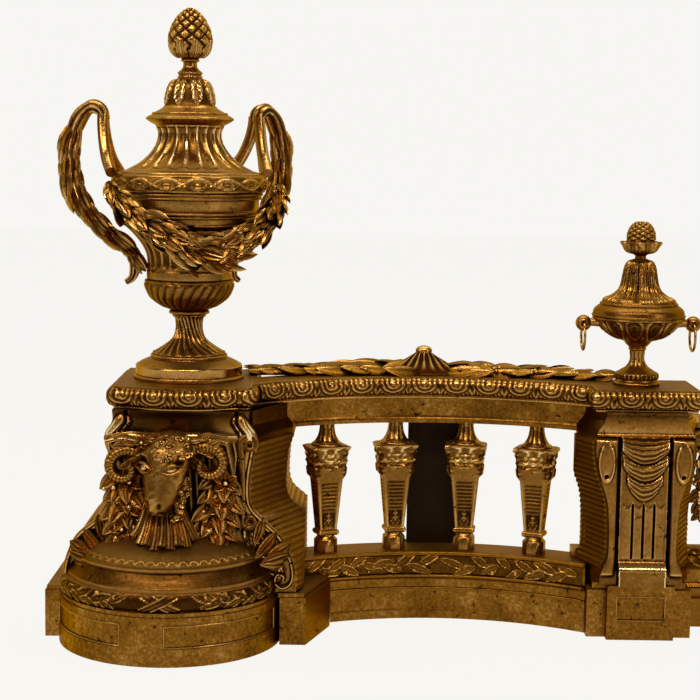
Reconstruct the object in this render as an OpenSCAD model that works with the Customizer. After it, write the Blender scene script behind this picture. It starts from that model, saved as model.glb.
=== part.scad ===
// Gilt bronze fire fender: two end sections, each with a large urn on a bow-fronted pedestal, a curved
// balustrade and a small urn, joined by centre rails that slide behind the small pedestals.
// Millimetres. X runs along the fender, the front faces -Y, Z is up. The origin is under the middle of
// the centre base rail, on the hearth. The right section is the mirror image of the left one.

/* [Layout] */
// Clear length of the centre rails between the two small pedestals
centre_len = 364; // [330:2:420]
// Distance between the two urn axes of one end section
urn_spacing = 340; // [330:1:350]
// How far the large urn's axis lies in front of the centre rails
large_set = 10; // [6:1:14]
// How far the small urn's axis lies in front of the centre rails
small_set = 13; // [11:1:15]
// Radius of the curved base rail's lower front edge
curve_r = 201; // [192:1:220]
// Height of the flat top on which both urns stand
rail_h = 188; // [184:1:196]
// Height of the moulded cap at the top of rail and pedestals
cap_h = 16; // [14:1:18]
// Height of the plain frieze under the curved rail's cap
frieze_h = 20; // [16:1:24]
// Small gap between castings that stand side by side
fit_gap = 0.2; // [0.1:0.05:0.3]

/* [Large pedestal] */
// Half width of the large plinth
plinth_half = 96.5; // [94:0.5:99]
// Height of the large plinth
plinth_h = 38; // [36:1:40]
// Radius of the plinth's bowed front
bow_r = 82; // [81:0.5:84]
// Distance from the urn's axis forward to the bow's centre
bow_set = 39; // [37:1:42]
// Sideways shift of the bowed front towards the outer end
bow_shift = 9; // [7:1:10]
// Depth of the pedestal behind the urn's axis
pedestal_back = 50; // [46:1:54]
// Distance from the urn's axis forward to the pedestal's flat front
pedestal_front = 57; // [55:1:59]
// Half width of the pedestal's cap
slab_half = 52; // [50:1:54]
// Distance from the urn's axis to the pedestal's end wall beside the curved rail
end_wall = 88; // [84:1:92]
// Angle by which the slanted flank opens towards the back
flank_angle = 27; // [24:1:30]
// Thickness of the corner scrolls from front to back
scroll_t = 6; // [5:0.5:7]
// Wall thickness of the hollow castings
wall = 6; // [5:0.5:7]
// Thickness of the pad that carries the ram's head
pad_t = 3; // [2:0.5:4]

/* [Curved balustrade] */
// Height of the curved base rail
base_h = 52; // [50:1:56]
// Depth of the curved rail from front to back
rail_depth = 34; // [31:1:36]
// Distance between two balusters along the curve
baluster_pitch = 55; // [50:1:56]
// Half width of a baluster's cap
baluster_half = 16; // [14:0.5:17]
// Thickness of the cast garland that lies on the rail
garland_h = 10; // [8:1:12]
// Rise of the shell above the rail
shell_h = 22; // [18:1:26]

/* [Small pedestal] */
// Width of the small plinth
small_w = 78; // [76:1:80]
// Height of the small plinth
small_plinth_h = 41; // [38:1:44]
// Distance from the small urn's axis forward to the small plinth's front block
small_front = 33; // [31:1:35]
// Half width of the small plinth's front block
small_block = 25; // [22:1:28]
// How far the front block stands out from the side blocks
block_step = 8; // [6:1:10]
// Thickness of the drapery mount and its volutes
mount_t = 8; // [6:1:9]

/* [Large urn] */
// Radius of the foot's polished band
foot_r = 41.3; // [38:0.5:43]
// Height of the foot and stem
foot_h = 51; // [48:1:54]
// Height of the gadrooned bowl
bowl_h = 23; // [20:1:26]
// Height of the fluted body
body_h = 65; // [62:1:68]
// Radius of the body at its upper band
body_r = 53.5; // [52:0.5:55]
// Height of the shoulder ring and fluted neck
neck_h = 49; // [46:1:52]
// Radius of the shoulder ring
shoulder_r = 59; // [57:0.5:61]
// Height of the rim and dome
dome_h = 37; // [34:1:40]
// Radius of the rim under the dome
rim_r = 32.7; // [30:0.5:35]
// Height of the pinecone with its neck
cone_h = 49; // [46:1:54]
// Radius of the pinecone
cone_r = 16.6; // [15:0.2:18]
// Radius of the threaded rod that holds the urn together
rod_r = 3; // [2.5:0.1:3.5]
// Clearance round the rods
rod_gap = 0.25; // [0.2:0.05:0.4]
// Azimuth of the inner handle, turned towards the back
handle_turn = 43; // [38:1:48]
// Half spread of a handle's two inner legs at the shoulder
leg_spread = 23; // [20:1:26]

/* [Small urn] */
// How far the small urn stands from its pedestal's middle towards the curved rail
cup_shift = 3.5; // [0:0.5:4]
// Radius of the small urn's foot
cup_foot_r = 17.5; // [16:0.5:19]
// Height of the foot and stem
cup_foot_h = 32.5; // [30:0.5:35]
// Height of the bowl
cup_bowl_h = 19; // [17:0.5:21]
// Radius of the bowl's rim
cup_r = 35; // [33:0.5:37]
// Height of the lid
cup_lid_h = 43; // [40:1:46]
// Height of the berry finial
berry_h = 28; // [26:1:31]
// Distance from the urn's axis to a ball lug's centre
lug_x = 41; // [40:0.5:43]
// Radius of a ball lug
lug_r = 6; // [5.5:0.1:6.5]
// Radius of the hole through a ball lug
lug_hole_r = 2.4; // [2.3:0.05:2.8]
// Mean radius of a loose ring
ring_r = 10.5; // [10:0.25:12]
// Radius of the ring's wire
ring_wire = 1; // [0.8:0.1:1.1]

/* [Centre rails] */
// Depth of the centre rails
centre_t = 16; // [14:1:18]
// Length of a centre rail that is hidden behind each small pedestal
overlap = 50; // [46:1:54]
// Height of the centre base rail
centre_base_h = 61; // [58:1:64]
// How far the centre top rail lies under the small pedestal's cap
centre_top_drop = 9; // [6:1:12]
// Height of the centre top rail
centre_top_h = 25; // [22:1:27]
// Clearance of the sliding rails
slide_gap = 0.5; // [0.4:0.1:0.8]
// Thickness of the keepers that guide the rails
keeper_t = 2.5; // [2:0.25:3]
// Radius of the wreath's section
wreath_t = 7; // [6:0.5:8]

/* [Iron] */
// Width of the iron upright
iron_w = 41; // [36:1:45]
// Thickness of the iron upright
iron_t = 7; // [6:1:9]
// Length of the billet bar behind the upright
bar_len = 190; // [150:5:240]
// Width of the billet bar
bar_w = 22; // [18:1:26]
// Height of the billet bar's upper face
bar_z = 62; // [50:1:80]

/* [Hidden] */
$fn = 72;
far = 900;

// Axes of the left section's urns
small_x = -(centre_len + small_w) / 2;
small_y = -small_set;
large_x = small_x - urn_spacing;
large_y = -large_set;

// The curved rail is an arc through these two points of its lower front edge
curve_a = [large_x + plinth_half + 15, large_y + 1];
curve_b = [small_x - small_w / 2 + 14.5, small_y - small_front + 7];
chord = curve_b - curve_a;
chord_mid = (curve_a + curve_b) / 2;
chord_rise = sqrt(curve_r * curve_r - norm(chord) * norm(chord) / 4);
curve_c = chord_mid + chord_rise * [chord.y, -chord.x] / norm(chord);
rail_mid = 16.5;
rail_back = curve_r + rail_depth;

// Levels
cap_z = rail_h - cap_h;
frieze_z = cap_z - frieze_h;
bowl_z = rail_h + foot_h;
body_z = bowl_z + bowl_h;
neck_z = body_z + body_h;
dome_z = neck_z + neck_h;
cone_z = dome_z + dome_h;
cup_z = rail_h + cup_foot_h;
lid_z = cup_z + cup_bowl_h;
berry_z = lid_z + cup_lid_h;
lug_z = lid_z - 5.5;
centre_top_z = cap_z - centre_top_drop - centre_top_h;

// Front face of the sliding rails and back of the small pedestal in front of them
centre_front = -centre_t / 2 + 1;
centre_back = centre_front + centre_t;
small_rear = centre_front - slide_gap;

// ---- Curves and swept shapes ----

// Point on a smooth curve through four control points
function blend4(a, b, c, d, t) = 0.5 * (2 * b + (c - a) * t + (2 * a - 5 * b + 4 * c - d) * t * t
    + (3 * b - a - 3 * c + d) * t * t * t);
// Smooth curve through all points of P, with n steps between two of them
function smooth(P, n = 4) = let (m = len(P)) concat([for (i = [0 : m - 2], k = [0 : n - 1])
    blend4(P[max(i - 1, 0)], P[i], P[i + 1], P[min(i + 2, m - 1)], k / n)], [P[m - 1]]);
function unit(v) = v / norm(v);
// Round or oval section of a swept piece, as points [sideways, upwards]
function oval(n) = [for (k = [0 : n - 1]) [cos(360 * k / n), sin(360 * k / n)]];
// Section with a flat underside
half_oval = [for (k = [0 : 6]) [cos(30 * k), sin(30 * k)]];
// Direction of the path at point i
function along(P, i) = unit(P[min(i + 1, len(P) - 1)] - P[max(i - 1, 0)]);

// A closed solid that carries the section along path P. Side[i] is the section's sideways direction,
// size[i] holds its half width and half height.
module swept(P, side, size, section) {
    m = len(section);
    rings = [for (i = [0 : len(P) - 1]) let (t = along(P, i), v = unit(cross(t, side[i])),
        u = cross(v, t)) for (q = section) P[i] + u * q.x * size[i].x + v * q.y * size[i].y];
    last = (len(P) - 1) * m;
    polyhedron(rings, concat([[for (k = [0 : m - 1]) k], [for (k = [m - 1 : -1 : 0]) last + k]],
        [for (i = [0 : len(P) - 2], k = [0 : m - 1])
            each [[i * m + k, (i + 1) * m + k, (i + 1) * m + (k + 1) % m],
                [i * m + k, (i + 1) * m + (k + 1) % m, i * m + (k + 1) % m]]]), 3);
}

// Turned solid from a smooth outline of [radius, height] points above height z
module turned(outline, z, bore = 0) {
    translate([0, 0, z]) difference() {
        rotate_extrude() polygon(concat([[0, outline[0].y]], outline, [[0, outline[len(outline) - 1].y]]));
        if (bore > 0)
            translate([0, 0, outline[0].y - 1]) cylinder(r = bore, h = outline[len(outline) - 1].y + 2);
    }
}

// The same with a hollow inside, whose skin is as thick as given, from height z0 to z1
module hollow(outline, z, bore, skin, z0, z1) {
    inner = [for (p = outline) if (p.y > z0 && p.y < z1) [p.x - skin, p.y]];
    difference() {
        turned(outline, z, bore);
        translate([0, 0, z]) rotate_extrude() polygon(concat([[0, z0], [inner[0].x, z0]], inner,
            [[inner[len(inner) - 1].x, z1], [0, z1]]));
    }
}

// Outline in X and Z, carried along Y from y0 to y1
module walled(y0, y1) {
    translate([0, y1, 0]) rotate([90, 0, 0]) linear_extrude(y1 - y0) children();
}

// Everything in the children that lies between two heights
module between(z0, z1) {
    intersection() {
        union() children();
        translate([-far / 2, -far / 2, z0]) cube([far, far, z1 - z0]);
    }
}

// An outline that starts a little above its first point and ends a little below its last one
function overlong(P) = let (n = len(P) - 1)
    concat([2 * P[0] - P[1]], [for (i = [1 : n - 1]) P[i]], [2 * P[n] - P[n - 1]]);

module at_large() translate([large_x, large_y, 0]) children();
module at_small() translate([small_x, small_y, 0]) children();
module at_cup() translate([small_x - cup_shift, small_y, 0]) children();
module mirrored() mirror([1, 0, 0]) children();

// ---- Large pedestal ----

// Half width of the pedestal's front corner at each height
front_edge = [[50, cap_z], [50, frieze_z + 6], [53, frieze_z - 2], [50, frieze_z - 12],
    [48.5, frieze_z - 30], [48.5, plinth_h + 66], [53, plinth_h + 54], [66, plinth_h + 40],
    [77, plinth_h + 28], [81, plinth_h + 14], [81, plinth_h]];
core_inset = 3;
outer_extra = 2;
flank_depth = 47;
flank_gain = flank_depth * tan(flank_angle);
skirt_top = plinth_h + 48;
// The pad on the pedestal's front, between the two scrolls, and the band above them
pad_w = 77;
pad_x = -36.2;
band_h = 13;
scroll_mid = pad_x + pad_w / 2;

// The bowed front as a turned form: laurel torus, cavetto, fillet and flared skirt
module bow_front() {
    top = bow_r - 21;
    outline = concat([[bow_r - 3, -3]],
        [for (a = [-75 : 25 : 75]) [bow_r - 4 + 3 * cos(a), 6.5 + 6.5 * sin(a)]],
        [[bow_r - 6, 14], [bow_r - 6, 16]],
        smooth([[bow_r - 6.5, 17], [bow_r - 10, 21], [bow_r - 12.5, 25.5]]),
        [[bow_r - 11, 26.5], [bow_r - 11, 29]],
        smooth([[bow_r - 15, 31], [bow_r - 24, 36], [bow_r - 39, 41], [top - 40, 48]]));
    intersection() {
        translate([-bow_shift, -bow_set, 0]) turned(outline, plinth_h);
        translate([-far, -far, 0]) cube([2 * far, far - pedestal_front + 1, far]);
    }
}

// Outline of the core in X and Z; the inner side reaches out by gain
module core_outline(gain) {
    edge = overlong(smooth(front_edge));
    polygon(concat([for (p = edge) [p.x - core_inset + gain, p.y]],
        [for (i = [len(edge) - 1 : -1 : 0]) let (p = edge[i])
            [-p.x + core_inset - outer_extra * max(0, skirt_top - p.y) / (skirt_top - plinth_h), p.y]]));
}

// The slanted flank between front corner and rail, drawn across its face
module flank() {
    c = cos(flank_angle);
    s = sin(flank_angle);
    face = [for (p = overlong(smooth(front_edge))) [c * p.x + s * pedestal_front, p.y]];
    intersection() {
        rotate([0, 0, -flank_angle]) walled(-far / 4, far / 4)
            polygon(concat([[0, face[0].y]], face, [[0, face[len(face) - 1].y]]));
        translate([0, -pedestal_front, 0]) cube([far, flank_depth, far]);
    }
}

module pedestal() {
    lip = 0.8;
    color("darkgoldenrod") at_large() difference() {
        between(plinth_h, cap_z) {
            bow_front();
            walled(-pedestal_front, pedestal_back) core_outline(0);
            flank();
            walled(flank_depth - pedestal_front, pedestal_back) intersection() {
                core_outline(flank_gain + core_inset + lip);
                square([end_wall, far]);
            }
            front_pad();
        }
        pedestal_hollow(cap_z - wall);
        bow_hollow();
        translate([0, 0, cap_z - wall - 1]) cylinder(r = rod_r + rod_gap, h = wall + 2);
    }
}

// Raised pad and band on the pedestal's front, between the scrolls
module front_pad() {
    translate([pad_x, -pedestal_front - pad_t, skirt_top + 1])
        cube([pad_w, pad_t + 1, cap_z - skirt_top - 8]);
    translate([pad_x - 7, -pedestal_front - pad_t - 4, cap_z - band_h]) cube([pad_w + 14, pad_t + 5, band_h]);
}

// Space inside pedestal and plinth, open below and at the back
module pedestal_hollow(height) {
    translate([wall - slab_half + 8, wall - pedestal_front, -1])
        cube([2 * slab_half - 4 * wall, far, height + 1]);
}

// Space inside the bowed front
module bow_hollow() {
    translate([-bow_shift, -bow_set, -1]) cylinder(r = bow_r - 3 * wall, h = plinth_h + 4 * wall);
}

// Distance from the urn's axis to the plinth's end beside the curved rail
plinth_end = plinth_half + 12;

module plinth_plan(inset) {
    half = plinth_half - inset;
    right = half - 5;
    translate([-bow_shift, -bow_set]) intersection() {
        circle(bow_r - inset);
        translate([-far, -far]) square([2 * far, far]);
    }
    polygon([[-half - 4.5, -47 + inset], [-half - 4.5, pedestal_back - inset],
        [plinth_end - inset, pedestal_back - inset], [plinth_end - inset, -10], [right, -61 + inset],
        [right - 19, -61 + inset], [right - 19, -30], [-half + 6, -30], [-half + 6, -47 + inset]]);
}

module plinth() {
    panel_z = 13;
    panel_h = 17;
    color("goldenrod") at_large() difference() {
        union() {
            linear_extrude(plinth_h - 3) plinth_plan(0);
            translate([0, 0, plinth_h - 3]) linear_extrude(3) plinth_plan(1.2);
        }
        // recessed panels on both sides of a plain block
        for (arc = [[192, 250], [272, 342]])
            translate([-bow_shift, -bow_set, panel_z]) rotate([0, 0, arc[0]])
                rotate_extrude(angle = arc[1] - arc[0]) translate([bow_r - 1.5, 0]) square([4, panel_h]);
        pedestal_hollow(plinth_h + 1);
        bow_hollow();
    }
}

// Two corner scrolls on the pedestal's front face, each with a volute at both ends
module scrolls() {
    inner_x = pad_w / 2 + 0.2;
    top_z = cap_z - band_h - 0.2;
    // the strip hangs from the band and ends just above the skirt
    fall = (top_z - skirt_top + 0.2) / 73;
    outer = smooth([[inner_x + 7, top_z], [inner_x + 13, top_z - 6], [inner_x + 14, top_z - 13],
        [inner_x + 9.5, top_z - 22 * fall], [inner_x + 7, top_z - 32 * fall],
        [inner_x + 7, top_z - 52 * fall], [inner_x + 11, top_z - 63 * fall],
        [inner_x + 16, top_z - 70 * fall]]);
    color("goldenrod") at_large() translate([scroll_mid, 0, 0])
        for (side = [-1, 1])
            mirror([side < 0 ? 1 : 0, 0, 0]) {
                walled(-pedestal_front - scroll_t, -pedestal_front) polygon(concat(outer,
                    [[inner_x + 8, top_z - 73 * fall], [inner_x + 1, top_z - 62 * fall],
                    [inner_x, top_z - 54 * fall], [inner_x, top_z]]));
                for (volute = [[inner_x + 7.6, top_z - 11, 7.5], [inner_x + 10, top_z - 68 * fall, 6.5]])
                    translate([volute.x, -pedestal_front, volute.y]) rotate([90, 0, 0])
                        cylinder(r = volute.z, h = scroll_t + 1);
            }
}

// Ram's head with curled horns, a leafy bow above, strands below and fruit drops at both sides
module ram_mount() {
    back = -pedestal_front - pad_t;
    head_x = -10;
    horn_x = 31;
    drop_x = 29;
    foot_z = skirt_top + 4;
    horn = [for (a = [200 : -30 : -190]) let (k = (200 - a) / 390, r = 10.5 - 5 * k)
        [horn_x + r * cos(a), back - 10 - 7 * k, cap_z - 39 + r * sin(a)]];
    horn_size = [for (i = [0 : len(horn) - 1]) let (w = 5 - 3.5 * i / len(horn)) [w, w]];
    // the fruit drops reach from the foot up into the horns
    drop_len = cap_z - 32 - foot_z;
    fruits = [for (p = smooth([[2, 0], [6.5, 5], [7.5, 11], [5.5, 17], [7, 24], [6.5, 30], [4.5, 36],
        [5.5, 42], [3, 50]], 3)) [p.x, p.y / 50 * drop_len]];
    color("goldenrod") at_large() intersection() {
        translate([head_x, 0, 0]) union() {
            translate([-31, back - 2.5, skirt_top + 8]) cube([62, 2.5, cap_z - skirt_top - 24]);
            hull() {
                translate([-2, back - 6, cap_z - 30]) sphere(r = 14, $fn = 20);
                translate([-1, back - 18, cap_z - 42]) sphere(r = 10, $fn = 16);
                translate([1, back - 20, cap_z - 60]) sphere(r = 7.5, $fn = 16);
            }
            swept(horn, [for (p = horn) [0, -1, 0]], horn_size, oval(8));
            mirror([1, 0, 0]) swept([for (p = horn) p - [5, 0, 3]], [for (p = horn) [0, -1, 0]], horn_size,
                oval(8));
            translate([-24, back - 12, cap_z - 38]) rotate([0, 90, 0]) cylinder(r = 4, h = 20);
            translate([4, back - 10, cap_z - 36]) rotate([0, 90, 0]) cylinder(r = 4, h = 20);
            for (side = [-1, 1]) translate([side * drop_x, back - 4, 0]) turned(fruits, foot_z + 1);
            translate([0, back - 5, cap_z - 19]) rotate([0, 90, 0])
                turned([[1, -17], [4.5, -14], [5, -6], [3.5, 0], [5, 6], [4.5, 14], [1, 17]], 0);
            for (k = [-1 : 1])
                translate([9 * k, back - 4, foot_z]) cylinder(r = 4.2, h = 26 - 4 * abs(k));
        }
        // behind the scrolls' front faces the mount stays between them
        union() {
            translate([pad_x + fit_gap, back - 60, 0]) cube([pad_w - 2 * fit_gap, 60, cap_z - band_h - 1]);
            translate([pad_x - 16, back - 60 - scroll_t + pad_t - 1 - fit_gap, 0])
                cube([pad_w + 32, 60, cap_z - band_h - 1]);
        }
    }
}

// ---- Cap and curved rail ----

// Turned ring about the curved rail's centre, kept between the two pedestals
module along_curve(x0, x1) {
    intersection() {
        translate([curve_c.x, curve_c.y, 0]) rotate_extrude($fn = 180) children();
        translate([x0, curve_c.y, -1]) cube([x1 - x0, far, far]);
    }
}

module slab_plan(inset) {
    corner = 7;
    at_large() {
        translate([inset - slab_half, inset - pedestal_front + corner])
            square([2 * (slab_half - inset), pedestal_front - corner + pedestal_back - inset]);
        translate([inset - slab_half + corner, inset - pedestal_front])
            square([2 * (slab_half - inset - corner), 2 * corner]);
        for (side = [-1, 1])
            translate([side * (slab_half - inset - corner), inset - pedestal_front + corner]) circle(corner);
        intersection() {
            translate([0, 21]) circle(87 - inset);
            translate([inset - 42, -far]) square([84 - 2 * inset, far]);
        }
    }
    at_small() translate([inset - small_w / 2 - 1, inset - small_front - 2])
        square([small_w + 2 - 2 * inset, small_front + 2 + small_set + 14 - 2 * inset]);
}

module top_rail() {
    steps = [[0, 3, 4.5], [3, 4, 2], [5.5, 6, 0], [cap_h - 3.5, 3.5, 1.2]];
    egg = concat([[curve_r + 6, 0], [curve_r + 5, 2.5]],
        [for (a = [-60 : 15 : 60]) [curve_r + 6.5 - 5.5 * cos(a), 7.8 + 5 * sin(a)]],
        [[curve_r + 3, cap_h - 3], [curve_r + 3, cap_h], [rail_back, cap_h], [rail_back, 0]]);
    fascia = [[curve_r + 10, 0], [curve_r + 10, 2], [curve_r + 11.5, 3.5], [curve_r + 11.5, frieze_h],
        [curve_r + 22, frieze_h], [curve_r + 22, 0]];
    color("goldenrod") difference() {
        union() {
            for (s = steps)
                translate([0, 0, cap_z + s[0]]) linear_extrude(s[1]) slab_plan(s[2]);
            along_curve(large_x + slab_half - 4, small_x - small_w / 2 + 4)
                translate([0, cap_z]) polygon(egg);
            along_curve(large_x + front_edge[2].x + flank_gain + fit_gap, small_x - small_w / 2 - 8)
                translate([0, frieze_z]) polygon(fascia);
        }
        at_large() translate([0, 0, cap_z - 1]) cylinder(r = rod_r + rod_gap, h = cap_h + 2);
        at_cup() translate([0, 0, cap_z - 1]) cylinder(r = rod_r + rod_gap - 1, h = cap_h + 2);
    }
}

// Path of the garland from the large urn's foot over the curve to the small urn's foot
garland_x = [large_x + foot_r + 3, small_x - cup_foot_r - 3];
function garland_y(k) = curve_c.y + curve_r + 22 - 16 * (1 - cos(180 * (k - 0.52) * 1.08)) - 3 * k;
garland_path = [for (k = [0 : 1 / 24 : 1])
    [garland_x[0] + k * (garland_x[1] - garland_x[0]), garland_y(k), rail_h]];

module rail_garland() {
    width = [for (k = [0 : 1 / 24 : 1]) [(5 + 6 * sin(180 * k)), garland_h * (0.45 + 0.4 * sin(180 * k))]];
    shell = garland_path[12] - [3, 0, 0];
    color("darkgoldenrod") union() {
        swept(garland_path, [for (p = garland_path) [0, 1, 0]], width, half_oval);
        translate(shell) rotate([90, 0, 0]) translate([0, 0, -5]) intersection() {
            union() {
                cylinder(r = shell_h, h = 9);
                for (a = [30 : 20 : 150])
                    rotate([0, 0, a]) translate([shell_h - 2, 0, 0]) cylinder(r = 3, h = 9.5);
            }
            translate([-far, 0, -far]) cube(2 * far);
        }
    }
}

// One term-shaped baluster: round foot, tapering shaft, leafy cap and round neck
module baluster() {
    height = frieze_z - base_h;
    shoulder = height - 17;
    turned([[9.5, 0], [9.5, 4], [8.5, 6], [6.5, 9], [6, 12], [7, 14]], 0);
    intersection() {
        walled(-15, 15) polygon([[-6.5, 13.5], [-11, shoulder - 22], [-baluster_half + 1, shoulder - 15],
            [-baluster_half, shoulder - 3], [-baluster_half + 2, shoulder], [baluster_half - 2, shoulder],
            [baluster_half, shoulder - 3], [baluster_half - 1, shoulder - 15], [11, shoulder - 22],
            [6.5, 13.5]]);
        rotate([0, 0, 90]) walled(-20, 20) polygon([[-5.5, 13], [-8, shoulder - 22.5],
            [-9.5, shoulder - 15.5], [-9.5, shoulder + 1], [9.5, shoulder + 1], [9.5, shoulder - 15.5],
            [8, shoulder - 22.5], [5.5, 13]]);
    }
    turned([[9.2, 0], [9, 7], [6, 15], [5.4, 17]], shoulder);
}

module balusters() {
    turn = baluster_pitch / (curve_r + rail_mid) * 180 / PI;
    row_shift = 1;
    color("goldenrod")
        for (k = [-1.5 : 1.5])
            translate([curve_c.x, curve_c.y, base_h]) rotate([0, 0, row_shift - k * turn])
                translate([0, curve_r + rail_mid, 0]) baluster();
}

module base_rail() {
    band_z = 33;
    band_mid = (band_z + base_h - 2) / 2;
    profile = concat([[curve_r, 0], [curve_r, 6.5], [curve_r + 1, 7.5], [curve_r + 1, 23], [curve_r + 2, 24],
        [curve_r + 1, 25], [curve_r + 1, band_z - 2], [curve_r + 4, band_z]],
        [for (a = [-70 : 20 : 70]) [curve_r + 5 - 3 * cos(a), band_mid + (base_h - band_z - 3) / 2 * sin(a)]],
        [[curve_r + 3.5, base_h - 1.5], [curve_r + 4, base_h], [rail_back, base_h], [rail_back, 0],
        [rail_back - 5, 0], [rail_back - 5, base_h - wall], [curve_r + 11, base_h - wall],
        [curve_r + 11, band_z], [curve_r + 7, band_z - 5], [curve_r + 7, 0]]);
    rail_end = small_x - small_w / 2 - fit_gap;
    color("darkgoldenrod") {
        along_curve(large_x + plinth_end + fit_gap, rail_end) polygon(profile);
        // above the plinth the rail reaches to the pedestal's end wall
        intersection() {
            along_curve(large_x + end_wall + fit_gap, rail_end) polygon(profile);
            translate([-far, -far / 2, plinth_h + fit_gap]) cube(far);
        }
    }
}

// ---- Small pedestal ----

side_edge = [[30, cap_z], [31, cap_z - 8], [36, cap_z - 18], [37, cap_z - 30], [34, cap_z - 48],
    [28, cap_z - 66], [26, cap_z - 86], [26, cap_z - 108], [30, small_plinth_h + 12],
    [31, small_plinth_h]];

module small_plinth() {
    half = small_w / 2;
    rear = small_set + small_rear;
    color("goldenrod") at_small() difference() {
        union() {
            translate([-half, block_step - small_front, 0]) cube([small_w, rear + small_front - block_step,
                small_plinth_h - 5]);
            translate([-small_block, -small_front, 0]) cube([2 * small_block, 12, small_plinth_h]);
            translate([-half + 4, block_step + 3 - small_front, 0])
                cube([small_w - 8, rear + small_front - block_step - 3, small_plinth_h]);
            translate([-half, 0, 0]) cube([wall, small_set + 12, small_plinth_h]);
        }
        translate([-small_block + 7, -small_front - 1, 15]) cube([2 * small_block - 14, 2.2, 18]);
        translate([-half + wall, wall + block_step - small_front, -1])
            cube([small_w - 2 * wall, far, small_plinth_h - wall]);
    }
}

module small_pedestal() {
    rear = small_set + small_rear;
    front = -small_front + 6;
    edge = overlong(smooth(side_edge, 3));
    flank_turn = 24;
    function flank_face(p) = cos(flank_turn) * p.x - sin(flank_turn) * front - 1;
    color("darkgoldenrod") at_small() difference() {
        between(small_plinth_h, cap_z) {
            walled(front, rear) polygon(concat([for (p = edge) [p.x - 4, p.y]],
                [for (i = [len(edge) - 1 : -1 : 0]) [4 - edge[i].x, edge[i].y]]));
            // flanks that open towards the back; the outer one is wider above the base rail
            for (side = [-1, 1]) intersection() {
                mirror([side < 0 ? 1 : 0, 0, 0]) rotate([0, 0, -flank_turn]) walled(-far / 4, far / 4)
                    polygon(concat([[0, edge[0].y]], [for (p = edge) [flank_face(p), p.y]],
                    [[0, edge[len(edge) - 1].y]]));
                union() {
                    translate([side < 0 ? -small_w / 2 : 0, front, 0]) cube([small_w / 2, rear - front, far]);
                    if (side < 0) translate([-small_w / 2 - 8, front, base_h + fit_gap])
                        cube([far, rear - front, far]);
                }
            }
            // foot flange on the base rail, and the end wall against the curved rail
            translate([-small_w / 2 - 8, small_set - 5, base_h + fit_gap]) cube([9, 13, 8]);
            translate([-small_w / 2, 0, 0]) cube([wall, small_set + 12, far]);
        }
        translate([wall - 28, front + wall, small_plinth_h - 1])
            cube([56 - 2 * wall, far, cap_z - wall - small_plinth_h + 1]);
        translate([-cup_shift, 0, cap_z - wall - 1]) cylinder(r = rod_r + rod_gap - 1, h = wall + 2);
    }
}

// Front mount of the small pedestal: flutes, a swagged cloth and a scroll at each corner
module drapery() {
    face = 6 - small_front;
    curl_r = 7.5;
    color("goldenrod") at_small() union() {
        walled(face - 3, face) polygon(concat([for (p = smooth(side_edge)) [p.x - 2, max(p.y, small_plinth_h)]],
            [for (i = [len(side_edge) - 1 : -1 : 0]) [2 - side_edge[i].x, side_edge[i].y]]));
        for (k = [-2 : 2])
            translate([k * 5.6, face - 3, small_plinth_h + 19]) cylinder(r = 2.2, h = 50);
        translate([-18, face - 6.5, small_plinth_h]) cube([36, 6, 18]);
        translate([-18, face - 6, cap_z - 20]) cube([36, 5, 6]);
        intersection() {
            translate([0, face - 2, cap_z - 20]) rotate([0, 90, 90]) cylinder(r = 17, h = 12, center = true);
            translate([-17, face - 7, cap_z - 68]) cube([34, 6, 48]);
        }
        for (side = [-1, 1]) {
            translate([side * 11.5, face - 5.1, cap_z - 62]) cylinder(r1 = 2.5, r2 = 5, h = 42);
            translate([side * 28, face, cap_z - 28]) rotate([90, 0, 0]) cylinder(r = curl_r, h = mount_t);
            translate([side * 24, face, small_plinth_h + 24]) rotate([90, 0, 0]) cylinder(r = 4.5, h = mount_t);
            mirror([side < 0 ? 1 : 0, 0, 0]) walled(face - mount_t + 1, face) polygon(concat(
                [for (p = smooth([for (i = [2 : 8]) side_edge[i]])) p],
                [for (p = smooth([for (i = [8 : -1 : 2]) side_edge[i]])) [p.x - 7, p.y]]));
        }
    }
}

// ---- Large urn ----

// Outlines of the urn's castings, as [radius, height above the casting's own foot]
foot_outline = concat([[foot_r, 0], [foot_r, 2], [foot_r - 1.3, 3], [foot_r - 1.3, 10], [foot_r - 3, 11.5]],
    smooth([[foot_r - 5, 12.5], [foot_r - 10, 15], [foot_r - 13, 16]]),
    [[foot_r - 12.5, 17.5], [foot_r - 14, 18.5]],
    smooth([[foot_r - 16, 20], [19.5, 24], [12.5, 29], [10, 36], [10.5, 43], [12.5, foot_h - 3]]),
    [[15, foot_h - 2.5], [15, foot_h]]);
bowl_outline = concat([[14, 0]], smooth([[15, 1], [22, 4], [29.5, 10], [33, 17], [33.7, bowl_h - 3]]),
    [[33, bowl_h - 1], [32.5, bowl_h]]);
body_outline = concat([[31.5, 0], [31.8, 1], [31.8, 7], [31, 8]],
    smooth([[31.3, 9], [32, 18], [35.5, 26], [41.5, 33.5], [47, 39]]),
    [[50, 41], [50.5, 46], [body_r - 1.5, 47.5], [body_r - 0.5, 50], [body_r - 2, 52.5],
    [body_r - 1.8, body_h - 5], [body_r, body_h - 3], [body_r + 1, body_h]]);
neck_outline = concat([[shoulder_r - 4, 0]],
    [for (a = [-60 : 20 : 60]) [shoulder_r - 3.5 + 3.5 * cos(a), 6.5 + 6.5 * sin(a)]],
    [[shoulder_r - 6, 13], [shoulder_r - 10, 14.5]],
    smooth([[shoulder_r - 12, 15.5], [38, 21], [30, 28], [25, 36], [23.5, 43], [25.5, neck_h]]));
dome_outline = concat([[26, 0]], [for (a = [-50 : 20 : 50]) [rim_r - 3 + 3 * cos(a), 5 + 4 * sin(a)]],
    smooth([[26, 9.5], [20, 13], [18, 17], [16.8, 24], [15.5, 29], [13, 32.5], [9.5, 34.5]]),
    [[9, dome_h - 1], [9, dome_h]]);
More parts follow.
